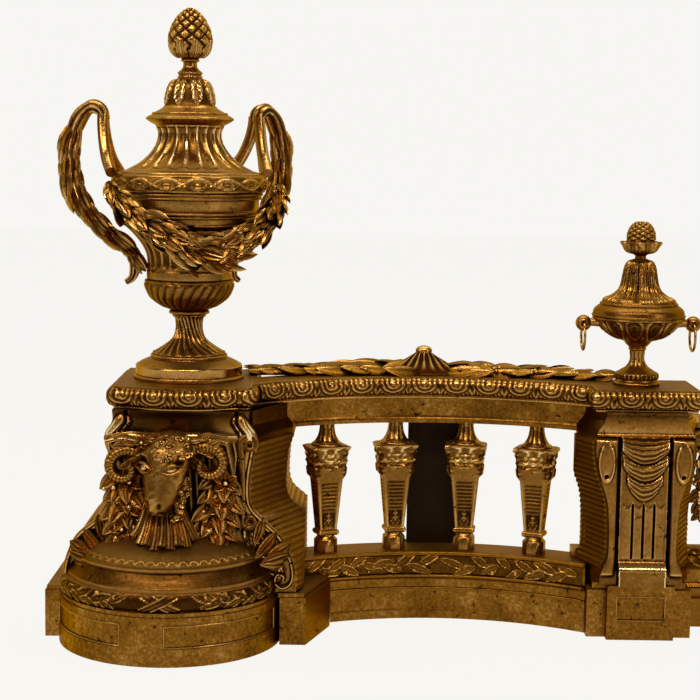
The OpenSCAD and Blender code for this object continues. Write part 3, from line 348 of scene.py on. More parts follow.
def make_piece(name, form, finish, body, nodes, mirror=False, crease=38):
    """One object from a closed form, or a list of them, in millimetres. Its faces turn round when X is
    mirrored, and an edge is sharp where its faces meet at more than the crease angle."""
    points, faces, tone = joined(form) if isinstance(form, list) else form
    points = points * MM * ((-1, 1, 1) if mirror else (1, 1, 1))
    if mirror:
        third = faces[:, 3] < 0
        faces = np.where(third[:, None], faces[:, [2, 1, 0, 3]], faces[:, ::-1])
    corners = faces[faces >= 0]
    sizes = np.where(faces[:, 3] < 0, 3, 4)
    mesh = bpy.data.meshes.new(name)
    mesh.vertices.add(len(points))
    mesh.vertices.foreach_set("co", points.astype(np.float32).ravel())
    mesh.loops.add(len(corners))
    mesh.loops.foreach_set("vertex_index", corners.astype(np.int32))
    mesh.polygons.add(len(faces))
    mesh.polygons.foreach_set("loop_start", (np.cumsum(sizes) - sizes).astype(np.int32))
    mesh.update(calc_edges=True)
    mesh.shade_smooth()
    mesh.set_sharp_from_angle(angle=np.radians(crease))
    # The relief attribute carries each point's tone: painted shade in recesses, painted highlights on crests.
    mesh.attributes.new("relief", "FLOAT", "POINT").data.foreach_set("value", tone.astype(np.float32))
    mesh.materials.append(finish)
    piece = bpy.data.objects.new(name, mesh)
    bpy.context.scene.collection.objects.link(piece)
    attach(piece, body)
    if nodes:
        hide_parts(*nodes)
    return piece


def make_pair(name, form, finish, node=None, crease=38):
    """The same piece on the left section and, mirrored, on the right one."""
    for side in ("left", "right"):
        make_piece(side + "_" + name, form, finish, side + "_section",
                   [side + "_" + node] if node else [], side == "right", crease)


def foot_carving(angle, z):
    """Spiral flutes: a cosine of 22 turns plus a twist that grows with height, between two rings."""
    zone = between(z, 17.5, 22, 45, 47.5)
    wave = np.cos(22 * (angle + 0.028 * (z - 18)))
    return zone * 0.62 * (wave - 0.6), 0.62 + zone * (0.32 * wave - 0.14)


foot_outline = np.vstack([
    [(1, 0), (40.8, 0), (41.3, 0.5), (41.3, 1.7), (40, 2.4), (39.7, 3), (39.7, 10), (38.3, 11)],
    softened([(36.3, 12.3), (31.3, 14.6), (28.3, 15.4)]), arc((27.6, 17), 1.3, -70, 75, 6),
    arc((26.6, 19), 0.9, -70, 75, 5),
    softened([(25.3, 20.3), (19.5, 24), (12.7, 29.5), (10.2, 36), (10.2, 43), (11, 46)]),
    arc((11.8, 47), 0.8, -80, 80, 5), [(12.4, 48)], arc((14, 49.5), 1.3, -80, 80, 6), [(13, 51), (1, 51)]])
make_pair("foot", turned(foot_outline, RAIL_TOP, LARGE, 160, foot_carving, 1.25), gilt_carved, "urn_foot")
band_outline = [(37, 2.9), (39.7, 2.9), (40, 3.3), (40, 9.7), (39.4, 10.5), (37, 10.5)]
make_pair("foot_band", turned(band_outline, RAIL_TOP, LARGE, 120), polished)

# ---- Large urn: bowl ----
# A shallow cast cup with twenty-eight gadroons that lean a little to the right as they rise.


def bowl_carving(angle, z):
    """Gadroons: round ridges whose height is the root of 1 less the square of the place across them."""
    across = cells(angle - 0.012 * z, 28)
    zone = between(z, 1.0, 3.5, 19.5, 21)
    ridge = half_round(across)
    return zone * 1.5 * (ridge - 0.75), 0.5 + zone * (0.42 * ridge - 0.42)


bowl_outline = np.vstack([
    [(1, 0), (14, 0)], softened([(15, 0.6), (22, 4), (29.5, 10), (33, 17), (33.4, 20)]),
    [(33.2, 21)], arc((32.4, 22), 1.0, -50, 60, 5), [(32, 23), (1, 23)]])
make_pair("bowl", turned(bowl_outline, BOWL_Z, LARGE, 224, bowl_carving, 1.15), gilt_carved, "urn_bowl")

# ---- Large urn: body ----
# A cast and turned vessel: plain bands above, wide flat flutes with round lower ends below, and a smooth
# collar where it stands on the bowl.


def body_carving(angle, z):
    """Flutes: flat-bottomed grooves of 26 turns, from the collar up to the first plain band."""
    across = np.abs(cells(angle, 26))
    lower = 9.5 + 2.5 * across ** 2
    zone = between(z, lower, lower + 1.2, 37.5, 39)
    groove = 1 - step_up(across, 0.68, 0.82)
    # Painted highlights on the plain bands and the lands between flutes; painted shade in the flutes.
    bands = bump(z, 56, 4.5)
    return -1.15 * zone * groove, 0.57 - 0.26 * zone * groove + 0.1 * bands + 0.15 * zone * (1 - groove)


body_outline = np.vstack([
    [(1, 0), (31.2, 0), (31.6, 0.6), (31.8, 1.4), (31.8, 6.6), (31.2, 7.6)],
    softened([(31.3, 8.6), (32, 18), (35.5, 26), (41.5, 33.5), (47, 39)]),
    [(49.4, 40.4)], arc((49.8, 41.6), 0.9, -60, 80, 5), [(50.2, 43), (50.3, 46)],
    arc((50.9, 47.4), 1.2, -80, 60, 5), arc((52, 50), 1.4, -75, 75, 7), [(51.4, 52.5), (51.6, 59.5)],
    arc((52.6, 61), 1.1, -80, 60, 5), [(53.4, 62.5)], arc((53.6, 63.8), 1.1, -60, 60, 5),
    [(53.6, 65), (1, 65)]])
make_pair("body", turned(body_outline, BODY_Z, LARGE, 216, body_carving, 1.5), gilt_carved, "urn_body")

# ---- Large urn: shoulder and neck ----
# A torus with a band of ribbons that cross between oval flowers, and above it a neck with twenty concave
# flutes that widen into tongue-shaped panels.


def neck_carving(angle, z):
    """Ribbons: two sines of the angle in opposite phase; flowers: an oval dome ringed by a groove in each
    loop. Flutes: grooves of 20 turns whose floor is flat low down, where they end in a half round."""
    turn = 16 * angle / TURN
    v = (z - 6.5) / 6.5
    band = between(z, 0.8, 2, 11.2, 12.2)
    wave = 0.62 * np.sin(np.pi * turn)
    ribbons = np.maximum(bump(v, wave, 0.24), bump(v, -wave, 0.24))
    u = (turn % 1 - 0.5) * 2.4
    oval = np.sqrt(u ** 2 + (v * 1.5) ** 2)
    petals = np.cos(18 * np.arctan2(v, u)) * bump(oval, 0.4, 0.16)
    flower = bump(oval, 0, 0.3) + 0.8 * bump(oval, 0.56, 0.15) + 0.35 * petals
    belt = band * np.maximum(ribbons, flower * (oval < 0.75))
    across = np.abs(cells(angle, 20))
    end = 17 + 3.2 * across ** 2.5
    zone = between(z, end, end + 1.3, 46.5, 48)
    low = 1 - step_up(z, 20, 31)
    floor = 1 - step_up(across, 0.58, 0.8)
    scoop = half_round(across / 0.82)
    flute = zone * (low * floor + (1 - low) * scoop)
    depth = 0.9 + 0.9 * (1 - low)
    lift = band * (1.15 * belt - 0.65) - depth * flute
    # Painted shade in the ribbon band and the flutes; painted highlights on the ridges between the flutes.
    shade = 0.76 + band * (0.42 * belt - 0.36) - flute * (0.12 + 0.22 * (1 - low))
    return lift, np.where(z > 15.5, shade + 0.22 * zone * bump(across, 1, 0.3), shade)


neck_outline = np.vstack([
    [(1, 0), (54, 0), (55.6, 0.4)], arc((54.3, 6.5), 3.5, -75, 75, 15, 1.83),
    [(53.4, 13.2)], arc((51.6, 13.8), 0.9, -10, 80, 5), softened([(47, 16), (38, 21), (30, 28), (25, 36),
    (23.6, 43), (25, 47.5)]), [(25.5, 49), (1, 49)]])
make_pair("neck", turned(neck_outline, NECK_Z, LARGE, 256, neck_carving, 1.3), gilt_carved, "urn_neck")

# ---- Large urn: lid ----
# A rim with a rounded edge, and a dome under eight pairs of drooping leaves.


def dome_carving(angle, z):
    """Leaves: eight lobes that hang from the top, split by a midrib and scored by slanting veins."""
    u = cells(angle, 8)
    t = np.clip((z - 14.5) / 18.5, 0, 1)
    zone = between(z, 13.6, 15.5, 32.5, 34)
    half = 0.9 * np.sqrt(np.clip(1 - (1 - t) ** 2.2, 0, 1)) * (0.92 + 0.08 * np.cos(22 * t))
    inside = step_up(half - np.abs(u), 0, 0.14)
    pair = bump(np.abs(u), 0.42, 0.46)
    veins = crest(TURN * (4.5 * t + 2.2 * np.abs(u)))
    swell = inside * (0.5 + pair * (1.0 + 0.3 * veins) + 0.35 * bump(u, 0, 0.07)) * (1.15 - 0.55 * t)
    low = 0.5 + 0.5 * np.cos(40 * angle) * bump(z, 12, 2.5)
    lift = zone * (1.25 * swell - 0.5)
    return lift, 0.62 + 0.1 * low + zone * (0.34 * swell - 0.3 + 0.12 * veins * inside)


dome_outline = np.vstack([
    [(1, 0), (25.5, 0), (27, 1)], softened([(28.5, 1.6), (31, 3.2), (32.6, 4.6), (31.8, 6)]),
    [(30, 7)], arc((27.2, 8.6), 0.9, -40, 80, 5), softened([(25.5, 9.8), (20.3, 13), (18.3, 17), (17, 24),
    (15.6, 29), (13, 32.4), (9.7, 34.3)]), arc((8.3, 35.5), 0.9, -60, 90, 5), [(8, 37), (1, 37)]])
make_pair("lid", turned(dome_outline, LID_Z, LARGE, 180, dome_carving, 1.15), gilt_carved, "urn_dome")

# ---- Large urn: pinecone ----
# The finial that screws on the rod: a ringed neck, a calyx of eight ribbed leaves, and a cone of scales
# that stand in two crossing spirals.

cone_outline = np.vstack([
    [(1, 0), (8.6, 0)], arc((8.2, 1.3), 1.1, -60, 80, 5), [(7.4, 3.2)],
    softened([(6.2, 4.4), (5.2, 6), (5.1, 9)]), arc((6.0, 10.6), 0.9, -80, 80, 5),
    softened([(6.6, 11.8), (9.5, 13), (13.4, 16), (15.3, 21), (15.6, 27), (13.8, 34), (10, 41), (4.6, 46.3),
    (1, 48.0)])])
cone_heights = np.linspace(13, 49, 200)
cone_radii = np.interp(cone_heights, cone_outline[17:, 1], cone_outline[17:, 0])
cone_spiral = np.concatenate([[0], np.cumsum(np.diff(cone_heights) / np.maximum(cone_radii[1:], 4.5))])


def cone_carving(angle, z):
    """Scales: square pyramids between two families of nine spirals, whose rise over the run is the
    integral of 1 / radius. Calyx: pointed leaves whose half width falls with the 2.6th power of height."""
    rise = 1.25 * np.interp(z, cone_heights, cone_spiral)
    a, b = cells(angle, 9, 9 * rise / TURN), cells(angle, 9, -9 * rise / TURN)
    knob = 1 - np.maximum(np.abs(a), np.abs(b))
    scale = np.clip(knob * 1.9, 0, 1) ** 0.75
    u = cells(angle, 8)
    t = np.clip((z - 12.5) / 13.5, 0, 1)
    half = 0.98 * (1 - t ** 2.6)
    leaf = step_up(half - np.abs(u), 0, 0.1) * step_up(z, 12.4, 13.4)
    rib = leaf * (0.75 + 0.3 * bump(u, 0, 0.1) + 0.25 * np.cos(9 * np.pi * np.abs(u) * (1 - 0.5 * t)))
    cone = step_up(z, 15, 17) * (1 - leaf)
    return cone * (1.9 * scale - 0.9) + 1.0 * rib, 0.62 * (z < 12.5) + cone * (0.04 + 0.72 * scale) + \
        leaf * (0.25 + 0.55 * rib)


make_pair("pinecone", turned(cone_outline, CONE_Z, LARGE, 156, cone_carving, 0.95), gilt_carved, "pinecone")

# ---- Large urn: handles ----
# Two cast straps like bent laurel branches, with long grooves and overlapping leaves. Each rises from the
# swag, curves over and runs down to a small tail at the body's foot; two smooth legs tie it to the neck.


def xyz(x, y, z):
    """Points from three coordinates, each of them one number or many."""
    return np.stack(np.broadcast_arrays(x, y, z), -1).astype(float)


def even(size):
    """The same size at every share of a run."""
    return lambda k: size + 0 * k


def swelling(ends, more):
    """A size that grows from its ends to the middle of a run by a sine."""
    return lambda k: ends + more * np.sin(np.pi * k)


def toned(tone):
    """A smooth surface of one tone."""
    return lambda a, *where: (0 * a, tone + 0 * a)


def grooved(count, tone, contrast=0.3):
    """Long grooves: a cosine of the angle round the section."""
    return lambda a, *where: (0.3 * np.cos(count * a), tone + contrast * np.cos(count * a))


def oval_swept(path, side, wide, high, carve=toned(0.62), around=20, step=1.2, power=1.0):
    """A section carried along a path. Its half width lies on the sideways direction and its half height
    across it; lift and tone come from carve, by the angle round the section, the run and its share."""
    path, run = evenly(path, step)
    share = run / run[-1]
    along = unit(np.gradient(path, run, axis=0))
    side = np.atleast_2d(side)
    side = read_off(side, np.linspace(0, 1, len(side)), share)
    side = unit(side - along * (side * along).sum(1)[:, None])
    across = np.cross(along, side)
    angle = spokes(around)[None, :] + 0 * run[:, None]
    lift, tone = carve(angle, run[:, None] + 0 * angle, share[:, None] + 0 * angle)
    x, y = (np.sign(part) * np.abs(part) ** power * half(share)[:, None]
            for part, half in ((np.cos(angle), wide), (np.sin(angle), high)))
    grow = 1 + lift / (np.hypot(x, y) + 1e-6)
    grid = path[:, None] + side[:, None] * (x * grow)[..., None] + across[:, None] * (y * grow)[..., None]
    return closed(grid, tone), (path, along, side, across, share)


def leaf_shape(plump):
    """A small leaf of length 1 on X: its half width is a power of a sine, with grooves beside its
    midrib. Its tone is painted shade towards the root and in the grooves, and painted highlight on the rims and
    midrib."""
    t = np.linspace(0, 1, 7)[:, None]
    half = 0.26 * np.sin(np.pi * t ** 0.85) ** 0.75 + 0.01
    section = np.array([(1, 0), (0.66, 0.6), (0.3, 0.3), (0, 1), (-0.3, 0.3), (-0.66, 0.6), (-1, 0),
                        (0, -0.5)])
    high = plump * (0.35 + 0.65 * np.sin(np.pi * t)) * np.minimum(1, half / 0.08)
    grid = xyz(t, half * section[:, 0], high * section[:, 1] * 0.5 - 0.1 * (t - 0.3) ** 2)
    # Painted shade towards the root and in the grooves, painted highlight on the rims and midrib.
    tone = 0.12 + 0.34 * t + 0.48 * np.maximum(section[:, 1], 0)
    return closed(grid, np.clip(tone, 0, 1))


FRONT = (0, -1, 0)


def berry_shape(around=8, rows=5):
    """A small ball of radius 1, painted lighter on top and darker below as light and shade from above."""
    a = np.linspace(-80, 80, rows)[:, None] * np.pi / 180
    b = spokes(around)[None, :]
    grid = xyz(np.cos(a) * np.cos(b), np.cos(a) * np.sin(b), np.sin(a))
    return closed(grid, 0.55 + 0.4 * grid[..., 2])


def scattered(shape, places, ahead, outward, sizes):
    """Copies of a shape: its X axis goes ahead, its Z axis outward, and its Y axis is Z cross X. Each
    direction is one for all or one for each."""
    places, ahead, outward = np.broadcast_arrays(*(np.atleast_2d(np.array(v, float))
                                                   for v in (places, ahead, outward)))
    ahead = unit(ahead)
    outward = unit(outward - ahead * (outward * ahead).sum(1)[:, None])
    axes = np.stack([ahead, np.cross(outward, ahead), outward], 1)
    points, faces, tone = shape
    sizes = np.array(sizes, float)
    sizes = np.broadcast_to(sizes if sizes.ndim == 2 else sizes.reshape(-1, 1), (len(places), 3))
    moved = places[:, None] + np.einsum("kvi,kij->kvj", points[None] * sizes[:, None], axes)
    starts = (np.arange(len(places)) * len(points))[:, None, None]
    copies = np.where(faces[None] < 0, -1, faces[None] + starts)
    return moved.reshape(-1, 3), copies.reshape(-1, 4), np.tile(tone, len(places))


def leaves_at(plump, places, ahead, outward, sizes):
    """Small leaves of one plumpness."""
    return scattered(leaf_shape(plump), places, ahead, outward, sizes)


def berries_at(places, sizes, shape=berry_shape()):
    """Small balls whose poles face the front."""
    return scattered(shape, places, (1, 0, 0), FRONT, sizes)


def on_tube(tube, share, angle, wide, high, sink, tilt=18, lead=1):
    """Place, direction and outward normal of things that lie on a swept form at a share and an angle,
    and that point back where the lead is -1."""
    path, along, side, across = (read_off(table, tube[-1], share) for table in tube[:-1])
    c, s = np.cos(angle)[:, None], np.sin(angle)[:, None]
    half_wide, half_high = wide(share)[:, None], high(share)[:, None]
    normal = unit(side * c / half_wide + across * s / half_high)
    lean = np.radians(tilt)
    return (path + sink * (side * c * half_wide + across * s * half_high),
            np.cos(lean) * lead * along + np.sin(lean) * normal, normal)


def turned_about(points, centre, degrees):
    """Points turned about the vertical axis through a centre."""
    c, s = np.cos(np.radians(degrees)), np.sin(np.radians(degrees))
    x, y = points[:, 0] - centre[0], points[:, 1] - centre[1]
    return np.stack([centre[0] + c * x - s * y, centre[1] + s * x + c * y, points[:, 2]], 1)


strap_line = softened([(63, 52), (66, 59.5), (73, 62), (81, 55), (86.5, 42), (88.5, 27), (88, 12), (83, -3),
                       (75, -15.5), (64.5, -27), (53, -36), (44.5, -45), (41, -55), (42.5, -64),
                       (47.5, -68)], 4)
leg_line = softened([(64, 57), (64, 48), (63, 36), (61, 24), (57.5, 14)], 4)


def strap_wide(k):
    """Half width of the strap at a share of its run."""
    return 7 + 1.6 * np.sin(np.pi * k) - 2 * k - 3 * step_up(k, 0.88, 1)


def strap_high(k):
    """Half thickness of the strap, scalloped like overlapping leaves at every ninth of its run."""
    return (3.9 + 3.0 * np.sin(np.pi * np.minimum(1, k * 1.4)) - 1.8 * step_up(k, 0.9, 1)) * \
        (0.86 + 0.16 * np.abs(np.sin(9 * np.pi * k)))


def strap_carving(angle, run, share):
    """Long grooves: a cosine of seven turns round the section."""
    wave = np.cos(7 * angle + 0.35 * np.sin(run / 9))
    return 0.55 * wave, 0.52 + 0.4 * wave


def handle_form():
    """One handle in the plane of azimuth 0: strap, its leaves and both legs."""
    centre = (*LARGE, NECK_Z)
    line = xyz(strap_line[:, 0], 0, strap_line[:, 1]) + centre
    strap, tube = oval_swept(line, (0, 1, 0), strap_wide, strap_high, strap_carving, 28, 1.1)
    share = np.repeat(np.linspace(0.2, 0.84, 12), 5)
    angle = np.tile(np.radians([0, 72, 144, 216, 288]), 12) + np.repeat(np.arange(12) % 2, 5) * 0.6
    place, ahead, normal = on_tube(tube, share, angle, strap_wide, strap_high, 0.74, 3)
    length = 27 - 6 * share + 3 * np.sin(31 * share + 5 * angle)
    parts = [strap, leaves_at(0.3, place, ahead, normal, np.outer(length, (1, 0.8, 1)))]
    for side in (-1, 1):
        k = np.linspace(0, 1, len(leg_line))
        leg = xyz(leg_line[:, 0] - 2.5 * k ** 2, side * (3 + 20 * k ** 2), leg_line[:, 1]) + centre
        parts.append(oval_swept(leg, (0, 1, 0), lambda k: 4.4 + 0.9 * bump(k, 0.9, 0.3), even(3.9),
                                lambda a, run, k: (0.35 * bump(a, np.pi / 2, 0.5) - 0.25 * bump(a, 0.9, 0.3),
                                                   0.68 + 0.12 * np.cos(2 * a)), 18, 1.5, 0.8)[0])
    return joined(parts)


handle = handle_form()
handles = [(turned_about(handle[0], LARGE, turn), *handle[1:]) for turn in (180, 43)]
make_pair("handles", handles, gilt_carved, "handles", crease=50)

# ---- Large urn: swag ----
# A cast garland of laurel leaves, berries and a fluted flower, screwed to the body under both handles. Its
# leaves point down from each end to the middle.

swag_line = softened([(213, 66, 6), (222, 65.5, -3), (236, 63.5, -15), (256, 58, -28), (276, 52, -37),
                      (294, 50, -40), (312, 54, -36), (330, 61, -26), (346, 65.5, -14), (358, 66.5, -3),
                      (364, 66.5, 6)], 4)


def swag_form():
    """A core tube, painted dark as shade between the leaves, with rings of leaves; angles, sizes and tilts vary by
    fixed random draws.
    """
    draw = np.random.default_rng(5)
    a = np.radians(swag_line[:, 0])
    way = xyz(np.cos(a), np.sin(a), 0)
    line = way * swag_line[:, 1:2] + (*LARGE, NECK_Z) + (0, 0, 1) * swag_line[:, 2:]
    wide, high = swelling(2.8, 3.6), swelling(3.2, 5.2)
    core, tube = oval_swept(line, way, wide, high, toned(0.1), 14, 3)
    parts = [core]
    for start, stop, lead in ((0.0, 0.56, 1), (1.0, 0.6, -1)):
        count = int(abs(stop - start) * 36)
        share = np.repeat(np.linspace(start, stop, count), 7) + draw.normal(0, 0.006, count * 7)
        share = np.clip(share, 0, 1)
        angle = np.tile(spokes(7), count) + draw.normal(0, 0.2, count * 7)
        angle += np.repeat(np.arange(count) % 2, 7) * 0.45
        place, ahead, normal = on_tube(tube, share, angle, wide, high, 0.8, 15, lead)
        ahead = ahead + draw.normal(0, 0.14, ahead.shape)
        length = (13 + 8 * np.sin(np.pi * share)) * draw.uniform(0.8, 1.25, len(share))
        parts.append(leaves_at(0.3, place, ahead, normal, np.outer(length, (1, 0.95, 1))))
    share, angle = draw.uniform(0.5, 0.68, 26), draw.uniform(-1.2, 1.2, 26)
    place, ahead, normal = on_tube(tube, share, angle, wide, high, 1.22)
    parts.append(scattered(berry_shape(), place, ahead, normal, draw.uniform(1.9, 2.7, 26)))
    share, angle = np.full(17, 0.5), np.linspace(-1.9, 0.9, 17)
    place, ahead, normal = on_tube(tube, share, angle, wide, high, 0.75, 30)
    ahead = ahead + np.array([0.35, -0.1, -0.55])
    parts.append(leaves_at(0.24, place, ahead, normal, [(21, 9, 15)]))
    return parts


make_pair("swag", swag_form(), gilt_carved, "swag", crease=50)

# ---- Large pedestal: bowed front ----
# The pedestal is one hollow casting. Its bowed front has a laurel torus tied with crossed ribbons, a plain
# hollow moulding, and a skirt that sweeps up to the ram's head. Its flanks are cut with level ribs.

BOW = (LARGE[0] - 9, LARGE[1] - 39)  # the axis of the bowed front
PLINTH_TOP = 38.0
TORUS_RUN = 79.5  # radius at which angles are turned into runs along the torus
FACE_Y, REAR_Y = -56.6, 49.6  # the pedestal's front and back, from the urn's axis


def bow_form(outline, foot_z, cut, carve, around, step):
    """A turned form in front of a flat cut: each row runs from pi + asin(cut / radius) to 2 pi minus
    the same, and the chord behind it closes the row."""
    line, run = evenly(outline, step)
    slope = unit(np.gradient(line, run, axis=0), 1e-9)
    start = np.arcsin(np.clip(cut / line[:, :1], 0, 1))
    angle = np.pi + start + (np.pi - 2 * start) * np.linspace(0, 1, around)[None, :]
    height = line[:, 1:2] + 0 * angle
    lift, tone = carve(angle, height)
    radius = line[:, :1] + slope[:, 1:2] * lift
    return closed(xyz(BOW[0] + radius * np.cos(angle), BOW[1] + radius * np.sin(angle),
                      foot_z + height - slope[:, :1] * lift), tone)


def pressed(s, v, leaves, bands=(), berries=()):
    """Low relief on a plane of s and v. A leaf [s, v, turn, length, half width] has a rim, a midrib and a
    half width that follows a sine; a band has two rims; a berry [s, v, radius] is a dome in a ring."""
    height, tone = np.zeros_like(s), np.full_like(s, 0.2)
    for group, straight in ((leaves, False), (bands, True)):
        for s0, v0, turn, length, half in group:
            c, d = np.cos(turn), np.sin(turn)
            a = ((s - s0) * c + (v - v0) * d) / length
            grow = 1 if straight else np.sin(np.pi * np.clip(a, 0.01, 0.99) ** 0.75) ** 0.8
            b = np.abs((v - v0) * c - (s - s0) * d) / (half * grow)
            inside = (a > 0) & (a < 1) & (b < 1)
            rim, rib = bump(b, 0.84, 0.26), bump(b, 0, 0.14)
            height = np.where(inside, 0.75 + 0.55 * rim + 0.3 * rib, height)
            tone = np.where(inside, 0.24 + 0.62 * rim + 0.3 * rib, tone)
    for s0, v0, radius in berries:
        away = np.hypot(s - s0, v - v0) / radius
        dome = half_round(away)
        height = np.where(away < 1, 0.8 + 1.0 * dome, height)
        tone = np.where(away < 1, 0.15 + 0.6 * dome + 0.25 * bump(away, 0.8, 0.2), tone)
    return height, tone


def sprigs(start, stop, middle, swing, pitch, length, half, seed):
    """Leaves of a laurel branch that runs from start to stop: in turn above and below the middle line,
    leaning out by about 25 degrees, with a berry beside every other pair."""
    draw = np.random.default_rng(seed)
    way = 1 if stop > start else -1
    at = np.arange(start, stop - way * length * 0.8, way * pitch)
    up = np.where(np.arange(len(at)) % 2, 1, -1)
    lean = up * draw.uniform(0.2, 0.62, len(at))
    turn = lean if way > 0 else np.pi - lean
    size = length * draw.uniform(0.85, 1.15, len(at))
    leaves = np.stack([at, middle + swing * np.sin(at / 9) - up * 0.4, turn, size,
                       half * draw.uniform(0.85, 1.1, len(at))], 1)
    berries = np.stack([at + way * pitch * 0.6, middle + up * half * draw.uniform(0.9, 1.5, len(at)),
                        draw.uniform(1.1, 1.7, len(at))], 1)[1::2]
    return leaves, berries


def laurel(spans, seeds, *sizes):
    """Leaves and berries of the branches over several spans."""
    branches = [sprigs(*span, *sizes, seed) for span, seed in zip(spans, seeds)]
    return [np.vstack(kind) for kind in zip(*branches)]


torus_leaves, torus_berries = laurel(np.radians([(194, 257), (346, 283)]) * TORUS_RUN, (4, 8),
                                     6.6, 0.8, 7.6, 17, 3.3)
torus_bands = [(1.5 * np.pi * TORUS_RUN + shift, 0.4, turn, 29, 3.1)
               for shift, turn in ((13, np.pi - 0.47), (-13, 0.47))]


def bow_carving(angle, z):
    """The torus is pressed with laurel and crossed ribbons. Above it the mouldings are painted dark as
    shade with painted highlights on their edges, and a row of small arched leaves rims the skirt."""
    edges = bump(z, 15, 1.2) + bump(z, 28, 1.4)
    u = 2 * ((angle * 66 / 7.5) % 1) - 1
    arch = bump(np.hypot(u, (z - 30.5) / 2.6), 0.85, 0.3) * between(z, 30.2, 30.8, 33.4, 34)
    rays = step_up(z, 38, 44) * crest(64 * angle)
    torus = between(z, 0.3, 1.2, 12.1, 13)
    height, tone = pressed(angle * TORUS_RUN, z, torus_leaves, torus_bands, torus_berries)
    plain = 0.34 + 0.34 * edges + 0.35 * arch + 0.25 * rays + 0.3 * bump(z, 13.4, 0.9)
    return torus * (height - 0.5) + 0.5 * arch + 0.8 * rays, np.where(torus > 0.5, tone, plain)


bow_outline = np.vstack([
    [(68, 0.1), (79, 0.1)], arc((78, 6.7), 3.3, -78, 76, 16, 1.95), [(76.4, 13.4), (76.4, 15.8)],
    softened([(75.8, 16.6), (72.6, 20.6), (70, 25.4)]), [(71.4, 26.2), (71.4, 29.4)],
    softened([(69.6, 29.8), (67, 31.4), (58, 36.4), (43, 41.6), (24, 49)]), [(20, 49)]])

make_pair("bow", bow_form(bow_outline, PLINTH_TOP, 17.8, bow_carving, 220, 1.0), gilt_carved, crease=60)

# Half width of the pedestal's front corner at each height, from the cap down to the plinth
corner_line = softened([(50, 172), (50, 163), (55, 155), (55.5, 147), (52, 136), (50.5, 120), (50.5, 107),
                        (54, 98), (65, 88.5), (75, 78), (81, 66), (84, 52), (84, 38)], 6)


def ribbed_skin(sign, centre, wide, rise, depth, height, thick, tones):
    """A thin closed skin on the flank at one side: its outer face stands out by the rise, which brightens
    it as a painted highlight on each rib, and its inner face lies the thickness below."""
    outer, inner = (xyz(sign * (wide + out), depth, height) for out in (rise, -thick))
    grid = np.concatenate([outer, inner[:, ::-1]], 1)[::-1, ::sign]
    tone = np.concatenate([tones[0] + 0.5 * rise, tones[1] + 0 * rise], 1)[::-1, ::sign]
    return closed(grid + (*centre, 0), tone)


def flank_ribs(low, high, reach, back, sign=1, setback=0.0, start=0.0):
    """Ribs on a slanted flank: rows follow the corner line, and each runs back by the reach; the rise is
    a rounded saw of the run along the corner line, with a rib every 4.6 mm."""
    line, run = evenly(corner_line[(corner_line[:, 1] <= high) & (corner_line[:, 1] >= low)], 0.7)
    k = np.linspace(0, 1, 8)[None, :]
    wide = np.minimum(line[:, :1] - 0.4 + start + k * reach, 88.4)
    rise = (0.2 + 0.8 * np.sin(np.pi * np.clip((run / 4.6) % 1 / 0.86, 0, 1)) ** 0.5)[:, None] + 0 * k
    return ribbed_skin(sign, LARGE, wide, rise, -57.3 + k * back + setback, line[:, 1:], 1.6, (0.36, 0.4))


def cavity(height, reach):
    """Height less its mean over cells at a reach in four directions: positive on crests and edges."""
    near = np.pad(height, reach, mode="edge")
    rows, columns = height.shape
    mean = (near[:rows, reach:-reach] + near[2 * reach:, reach:-reach] + near[reach:-reach, :columns]
            + near[reach:-reach, 2 * reach:]) / 4
    return height - mean


def face_form(edge, low, high, face, relief, columns, rear, centre, rows):
    """A front face in relief: for each height, points from edge to edge whose depth is the face less the
    relief, closed by its rear corners. The tone grows with the relief's cavity: painted highlights on crests
    and edges, painted shade in hollows."""
    z = np.linspace(low, high, int((high - low) / rows))
    half = np.interp(z, edge[::-1, 1], edge[::-1, 0])
    x = np.linspace(-1, 1, columns)[None, :] * half[:, None]
    height, tone = relief(x, z[:, None] + 0 * x, half[:, None] + 0 * x)
    front = xyz(centre[0] + x, centre[1] + face - height, z[:, None])
    back = rear(half, z) + (centre[0], centre[1], 0)
    # Painted highlight on crests and edges, painted shade in hollows, from the cavity.
    shade = np.clip(tone + 0.55 * cavity(height, 2), 0, 1)
    return closed(np.concatenate([front, back], 1),
                  np.concatenate([shade, 0.55 + 0 * shade[:, :back.shape[1]]], 1))


def large_rear(half, z):
    """Rear corners: the inner flank spreads by up to 24 mm to a knee and runs straight back from there,
    as the outer one does from the front."""
    inner = np.minimum(half + 23.5, 88)
    return np.stack([xyz(inner, -9.6, z), xyz(inner, REAR_Y, z), xyz(-half, REAR_Y, z)], 1)


